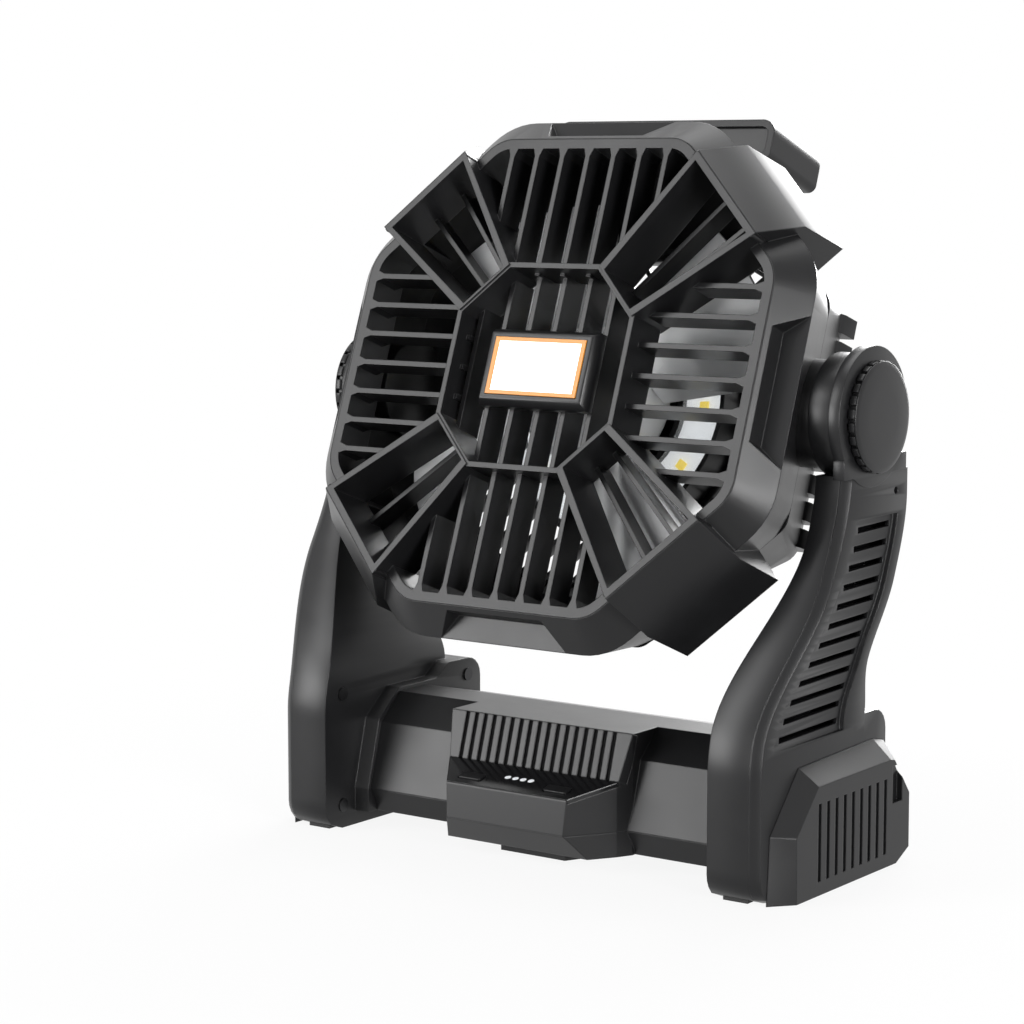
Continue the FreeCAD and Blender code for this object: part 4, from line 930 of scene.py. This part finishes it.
def arm_front(z):
    """Front edge, sweeping back from the foot, with a rounded toe."""
    front = arm_foot_front + arm_front_sweep * smooth_step(z, *arm_front_stretch)
    if z < arm_toe_radius:
        front = front + arm_toe_radius - math.sqrt(arm_toe_radius ** 2 - (arm_toe_radius - z) ** 2)
    return front


def arm_inner(z):
    """Inner face, moving outwards above the foot."""
    return arm_foot_inner + arm_inner_spread * smooth_step(z, *arm_inner_stretch)


def arm_outer(z):
    """Outer face, moving outwards above the foot."""
    return arm_foot_outer + (arm_top_outer - arm_foot_outer) * smooth_step(z, *arm_outer_stretch)


def arm_rear(z):
    """Rear edge, furthest forward at the waist."""
    if z < arm_waist_height:
        foot_share = smooth_step(-z, -arm_waist_height, -arm_foot_rear_height)
        return arm_waist_rear + arm_foot_rear_spread * foot_share
    return arm_waist_rear + arm_rear_sweep * smooth_step(z, arm_waist_height, arm_rear_high)


def arm_heights(low, high, count):
    """Evenly spaced heights."""
    return [low + (high - low) * index / count for index in range(count + 1)]


def arm_stack(name, side, section, heights):
    """Solid through plans at many heights, mirrored for the left side."""
    return solid(name, [[(side * x, y, z) for x, y in section(z)] for z in heights])


def main_section(z):
    """Plan of the arm, out to the seam of its cover."""
    seam = arm_outer(z) - arm_band_width
    return [(arm_inner(z), arm_front(z)), (seam, arm_front(z)),
            (seam, arm_rear(z)), (arm_inner(z), arm_rear(z))]


def hollow_section(z):
    """Plan of the space behind the louvres, open to the cover."""
    inner = arm_inner(z) + arm_wall
    seam = arm_outer(z) - arm_band_width + short_overrun
    front = arm_front(z) + arm_wall
    rear = arm_rear(z) - arm_wall
    return [(inner, front), (seam, front), (seam, rear), (inner, rear)]


def cover_section(z):
    """Plan of the cover, chamfered at the front and the rear."""
    outer = arm_outer(z)
    seam = outer - arm_band_width
    return [(seam, arm_front(z)), (outer, arm_front(z) + arm_band_depth),
            (outer, arm_rear(z) - arm_rear_chamfer), (seam, arm_rear(z))]


def pocket_section(z):
    """Wedge sunk into the outer face, from nothing at the front to a wall at the rear."""
    outer = arm_outer(z)
    front = arm_front(z) + pocket_front_margin
    rear = slot_rear(z) + pocket_rear_margin
    return [(outer, front), (outer + pocket_overrun, front), (outer + pocket_overrun, rear),
            (outer - pocket_depth, rear)]


def slot_rear(z):
    """Rear end of a louvre, further forward near the foot."""
    low_share = 1.0 - smooth_step(z, foot_top, arm_waist_height)
    return arm_rear(z) - slot_rear_margin - slot_low_shift * low_share


def ear_outline():
    """Upright behind the foot of the arm, as Y and Z."""
    points = [(ear_front, 0.0), (ear_rear, 0.0), (ear_rear, foot_top), (ear_front, foot_top)]
    return rounded(points, [0, 0, ear_corner_radius, 0])


def bracket_outline():
    """Inner plate of the foot, stepping down to the front, as Y and Z."""
    points = [(bracket_front, bracket_low), (ear_rear, bracket_low), (ear_rear, foot_top),
              (bracket_step, foot_top), (bracket_shelf_rear, bracket_shelf),
              (bracket_shelf_front, bracket_shelf), (bracket_slope_end, bracket_slope_top),
              (bracket_front, bracket_nose_top)]
    return rounded(points, [0, 0, ear_corner_radius, 4.0, 4.0, 3.0, 2.0, 2.0])


def oriented(low, high, side):
    """Two X values of one side, in rising order."""
    return sorted((side * low, side * high))


def knob_room(side):
    """Space round the left knob, sunk into the arm."""
    ends = oriented(left_knob_seat, knob_room_end, side)
    return tube_x("room", left_knob_radius + knob_room_gap, ends[0], ends[1])


def arm(side, name):
    """Arm with its foot plates and its hub, hollow behind the louvres."""
    body = arm_stack("arm_form_" + name, side, main_section, arm_heights(0.0, arm_top, arm_steps))
    hollow = arm_heights(arm_hollow_low, arm_top - arm_hollow_drop, hollow_steps)
    combine(body, arm_stack("hollow", side, hollow_section, hollow), "DIFFERENCE")
    ends = oriented(arm_foot_inner, ear_seam, side)
    combine(body, side_prism("ear", ear_outline(), ends[0], ends[1]), "UNION")
    ends = oriented(bracket_inner, bracket_outer, side)
    combine(body, side_prism("bracket", bracket_outline(), ends[0], ends[1]), "UNION")
    ends = oriented(hub_inner, arm_top_outer - arm_band_width if side > 0 else left_knob_seat, side)
    combine(body, tube_x("hub", arm_hub_radius, ends[0], ends[1]), "UNION")
    if side < 0:
        combine(body, knob_room(side), "DIFFERENCE")
    finish_piece(body, "dark_shell", "stand", ["arm_" + name], 0.3)


def louvre_slots(side):
    """Cutters for the row of louvres."""
    ends = oriented(slot_inner, slot_outer, side)
    slots = []
    for index in range(slot_count):
        z = foot_top + index * slot_pitch
        front = arm_front(z) + slot_front_margin
        slots.append(block("slot", (ends[0], front, z - slot_half_height),
                           (ends[1], slot_rear(z), z + slot_half_height)))
    return join("slots", slots)


def arm_cover(side, name):
    """Outer cover with its sunk louvres, and on the right side the collar, lug and screw hole."""
    body = arm_stack("cover_form_" + name, side, cover_section, arm_heights(0.0, arm_top, arm_steps))
    ends = oriented(ear_seam, arm_foot_outer, side)
    combine(body, side_prism("ear", ear_outline(), ends[0], ends[1]), "UNION")
    combine(body, louvre_slots(side), "DIFFERENCE")
    last_slot = foot_top + (slot_count - 1) * slot_pitch
    pocket = arm_heights(foot_top - pocket_end_margin, last_slot + pocket_end_margin, hollow_steps)
    combine(body, arm_stack("pocket", side, pocket_section, pocket), "DIFFERENCE")
    seam = arm_top_outer - arm_band_width
    if side > 0:
        combine(body, tube_x("collar", collar_radius, seam, knob_seat), "UNION")
        combine(body, block("lug", (seam, lug_front, lug_low), (knob_seat, lug_rear, lug_high)), "UNION")
        hole = tube_x("screw_hole", cover_screw_radius, cover_screw_bottom, slot_outer,
                      cover_screw_y, cover_screw_z, 24)
        combine(body, hole, "DIFFERENCE")
    else:
        combine(body, knob_room(side), "DIFFERENCE")
    finish_piece(body, "dark_shell", "stand", ["arm_cover_" + name], 0.3)


def knob_notches(side, radius, inner, outer):
    """Cutters for the teeth round a knob."""
    ends = oriented(inner - short_overrun, outer + short_overrun, side)
    root = radius - knob_notch_depth
    tip = radius + cut_overrun
    flat = [(root, -knob_notch_half), (tip, -knob_notch_half),
            (tip, knob_notch_half), (root, knob_notch_half)]
    notches = []
    for across, up in circle(1.0, knob_notch_count):
        rim = [(r * across - s * up, pivot_height + r * up + s * across) for r, s in flat]
        notches.append(side_prism("notch", rim, ends[0], ends[1]))
    return join("notches", notches)


def knob(side, name, seat, radius):
    """Toothed wheel and its domed cap; the bolt inside doesn't show."""
    inner = seat + knob_gap
    outer = inner + knob_wheel_depth
    outline = [(knob_bore, inner), (radius - knob_inner_edge, inner), (radius, inner + knob_inner_edge),
               (radius, outer), (radius - knob_outer_edge, outer), (knob_bore, outer)]
    wheel = turned_x("knob_wheel_" + name, [(r, side * x) for r, x in outline])
    combine(wheel, knob_notches(side, radius, inner, outer), "DIFFERENCE")
    finish_piece(wheel, "dark_shell", "knob_" + name, ["knob_" + name, "pivot_bolt_" + name], 0.2)
    edge = radius - dome_inset
    dome = [(0.0, outer), (edge, outer), (edge, outer + dome_rim), (edge - dome_slope, outer + dome_shoulder),
            (edge * 0.5, outer + dome_half_way), (0.0, outer + dome_height)]
    cap = turned_x("knob_face_" + name, [(r, side * x) for r, x in dome])
    finish_piece(cap, "dark_shell", "knob_" + name, ["knob_cap_" + name], 0.2)


def left_bush():
    """Short bush in the left arm's thin hub disc."""
    outline = [(bush_bore, hub_inner), (bush_radius, hub_inner),
               (bush_radius, left_knob_seat), (bush_bore, left_knob_seat)]
    bush = turned_x("bush_short_left", [(radius, -x) for radius, x in outline], 48)
    finish_piece(bush, "brass_bush", "stand", ["pivot_bush_left"], 0.1)


# Studio: floor, lamps, world and camera

def seen_ray(tree):
    """1 for what the camera sees, also in mirrors and through glass."""
    path = tree.nodes.new("ShaderNodeLightPath")
    seen = path.outputs["Is Camera Ray"]
    for kind in ("Is Glossy Ray", "Is Transmission Ray"):
        seen = maths(tree, "MAXIMUM", seen, path.outputs[kind])
    return seen


def blend_shaders(tree, share, first, second, target):
    """Blend of two shaders, led to the target."""
    mix = tree.nodes.new("ShaderNodeMixShader")
    link(tree, share, mix.inputs[0])
    link(tree, first.outputs[0], mix.inputs[1])
    link(tree, second.outputs[0], mix.inputs[2])
    link(tree, mix.outputs[0], target)


def make_world():
    """Dim grey light from all round, white to the camera."""
    world = bpy.data.worlds.new("studio")
    world.use_nodes = True
    tree = world.node_tree
    tree.nodes.clear()
    lit = add(tree, "ShaderNodeBackground", Color=world_grey, Strength=world_strength)
    seen = add(tree, "ShaderNodeBackground", Color=white, Strength=1.0)
    out = tree.nodes.new("ShaderNodeOutputWorld")
    blend_shaders(tree, seen_ray(tree), lit, seen, out.inputs["Surface"])
    bpy.context.scene.world = world


def floor_material():
    """Pale floor, white to the camera, that keeps the fan's shadow near its feet."""
    material, tree, shader = new_material("studio_floor")
    shader.inputs["Base Color"].default_value = floor_colour
    shader.inputs["Roughness"].default_value = 0.9
    shader.inputs["Specular IOR Level"].default_value = 0.1
    bright = add(tree, "ShaderNodeEmission", Color=white, Strength=1.0)
    place = tree.nodes.new("ShaderNodeTexCoord")
    distance = tree.nodes.new("ShaderNodeVectorMath")
    distance.operation = "LENGTH"
    link(tree, place.outputs["Object"], distance.inputs[0])
    fade = add(tree, "ShaderNodeMapRange", From_Min=shadow_near, From_Max=shadow_far,
               To_Min=floor_white_near, To_Max=1.0)
    fade.interpolation_type = "SMOOTHSTEP"
    link(tree, distance.outputs["Value"], fade.inputs["Value"])
    share = maths(tree, "MULTIPLY", seen_ray(tree), fade.outputs["Result"])
    blend_shaders(tree, share, shader, bright, tree.nodes["Material Output"].inputs["Surface"])
    return material


def make_floor():
    """Large square floor."""
    half = floor_size / 2.0
    mesh = bpy.data.meshes.new("studio_floor")
    corners = [(-half, -half, 0.0), (half, -half, 0.0), (half, half, 0.0), (-half, half, 0.0)]
    mesh.from_pydata(corners, [], [(0, 1, 2, 3)])
    floor = bpy.data.objects.new("studio_floor", mesh)
    bpy.context.scene.collection.objects.link(floor)
    mesh.materials.append(floor_material())


def softbox(name, place, target, size, power):
    """Rectangular lamp that faces a target."""
    data = bpy.data.lights.new(name, "AREA")
    data.shape = "RECTANGLE"
    data.size = size[0]
    data.size_y = size[1]
    data.energy = power
    lamp = bpy.data.objects.new(name, data)
    lamp.location = place
    lamp.rotation_euler = (Vector(target) - Vector(place)).to_track_quat("-Z", "Y").to_euler()
    bpy.context.scene.collection.objects.link(lamp)


def make_lamps():
    """Six soft lamps, with places and sizes in metres and powers in watts."""
    middle = (0.0, 0.0, 0.14)
    softbox("key", (-1.15, -1.4, 0.28), middle, (0.9, 0.75), 25.0)
    softbox("front", (0.1, -1.8, 0.2), middle, (0.5, 0.6), 4.0)
    softbox("fill", (1.55, -0.75, 0.4), middle, (0.6, 0.9), 34.0)
    softbox("top", (-0.2, 0.35, 1.6), middle, (1.2, 1.2), 16.0)
    softbox("rim", (-0.35, 1.7, 0.7), middle, (1.0, 1.2), 40.0)
    softbox("high", (-0.92, -1.2, 1.05), middle, (0.7, 0.7), 11.0)


def make_camera():
    """Camera of the photograph."""
    azimuth = math.radians(view_azimuth)
    elevation = math.radians(view_elevation)
    back = Vector((math.sin(azimuth) * math.cos(elevation), -math.cos(azimuth) * math.cos(elevation),
                   math.sin(elevation)))
    right = Vector((math.cos(azimuth), math.sin(azimuth), 0.0))
    up = back.cross(right)
    data = bpy.data.cameras.new("photo_view")
    data.lens = lens_mm
    data.sensor_width = sensor_mm
    camera = bpy.data.objects.new("photo_view", data)
    turn = Matrix((right, up, back)).transposed().to_4x4()
    camera.matrix_world = Matrix.Translation(aim_point + back * camera_distance) @ turn
    bpy.context.scene.collection.objects.link(camera)
    bpy.context.scene.camera = camera


make_camera()
make_world()
make_floor()
make_lamps()
materials = make_materials()
dress_nodes(materials)
front_bezel()
rear_shell()
rear_screws()
rear_grille()
pivot_bosses()
light_housing()
for arm_side, arm_name in ((1, "right"), (-1, "left")):
    arm(arm_side, arm_name)
    arm_cover(arm_side, arm_name)
knob(1, "right", knob_seat, right_knob_radius)
knob(-1, "left", left_knob_seat, left_knob_radius)
left_bush()
bpy.context.scene.view_settings.view_transform = "Standard"
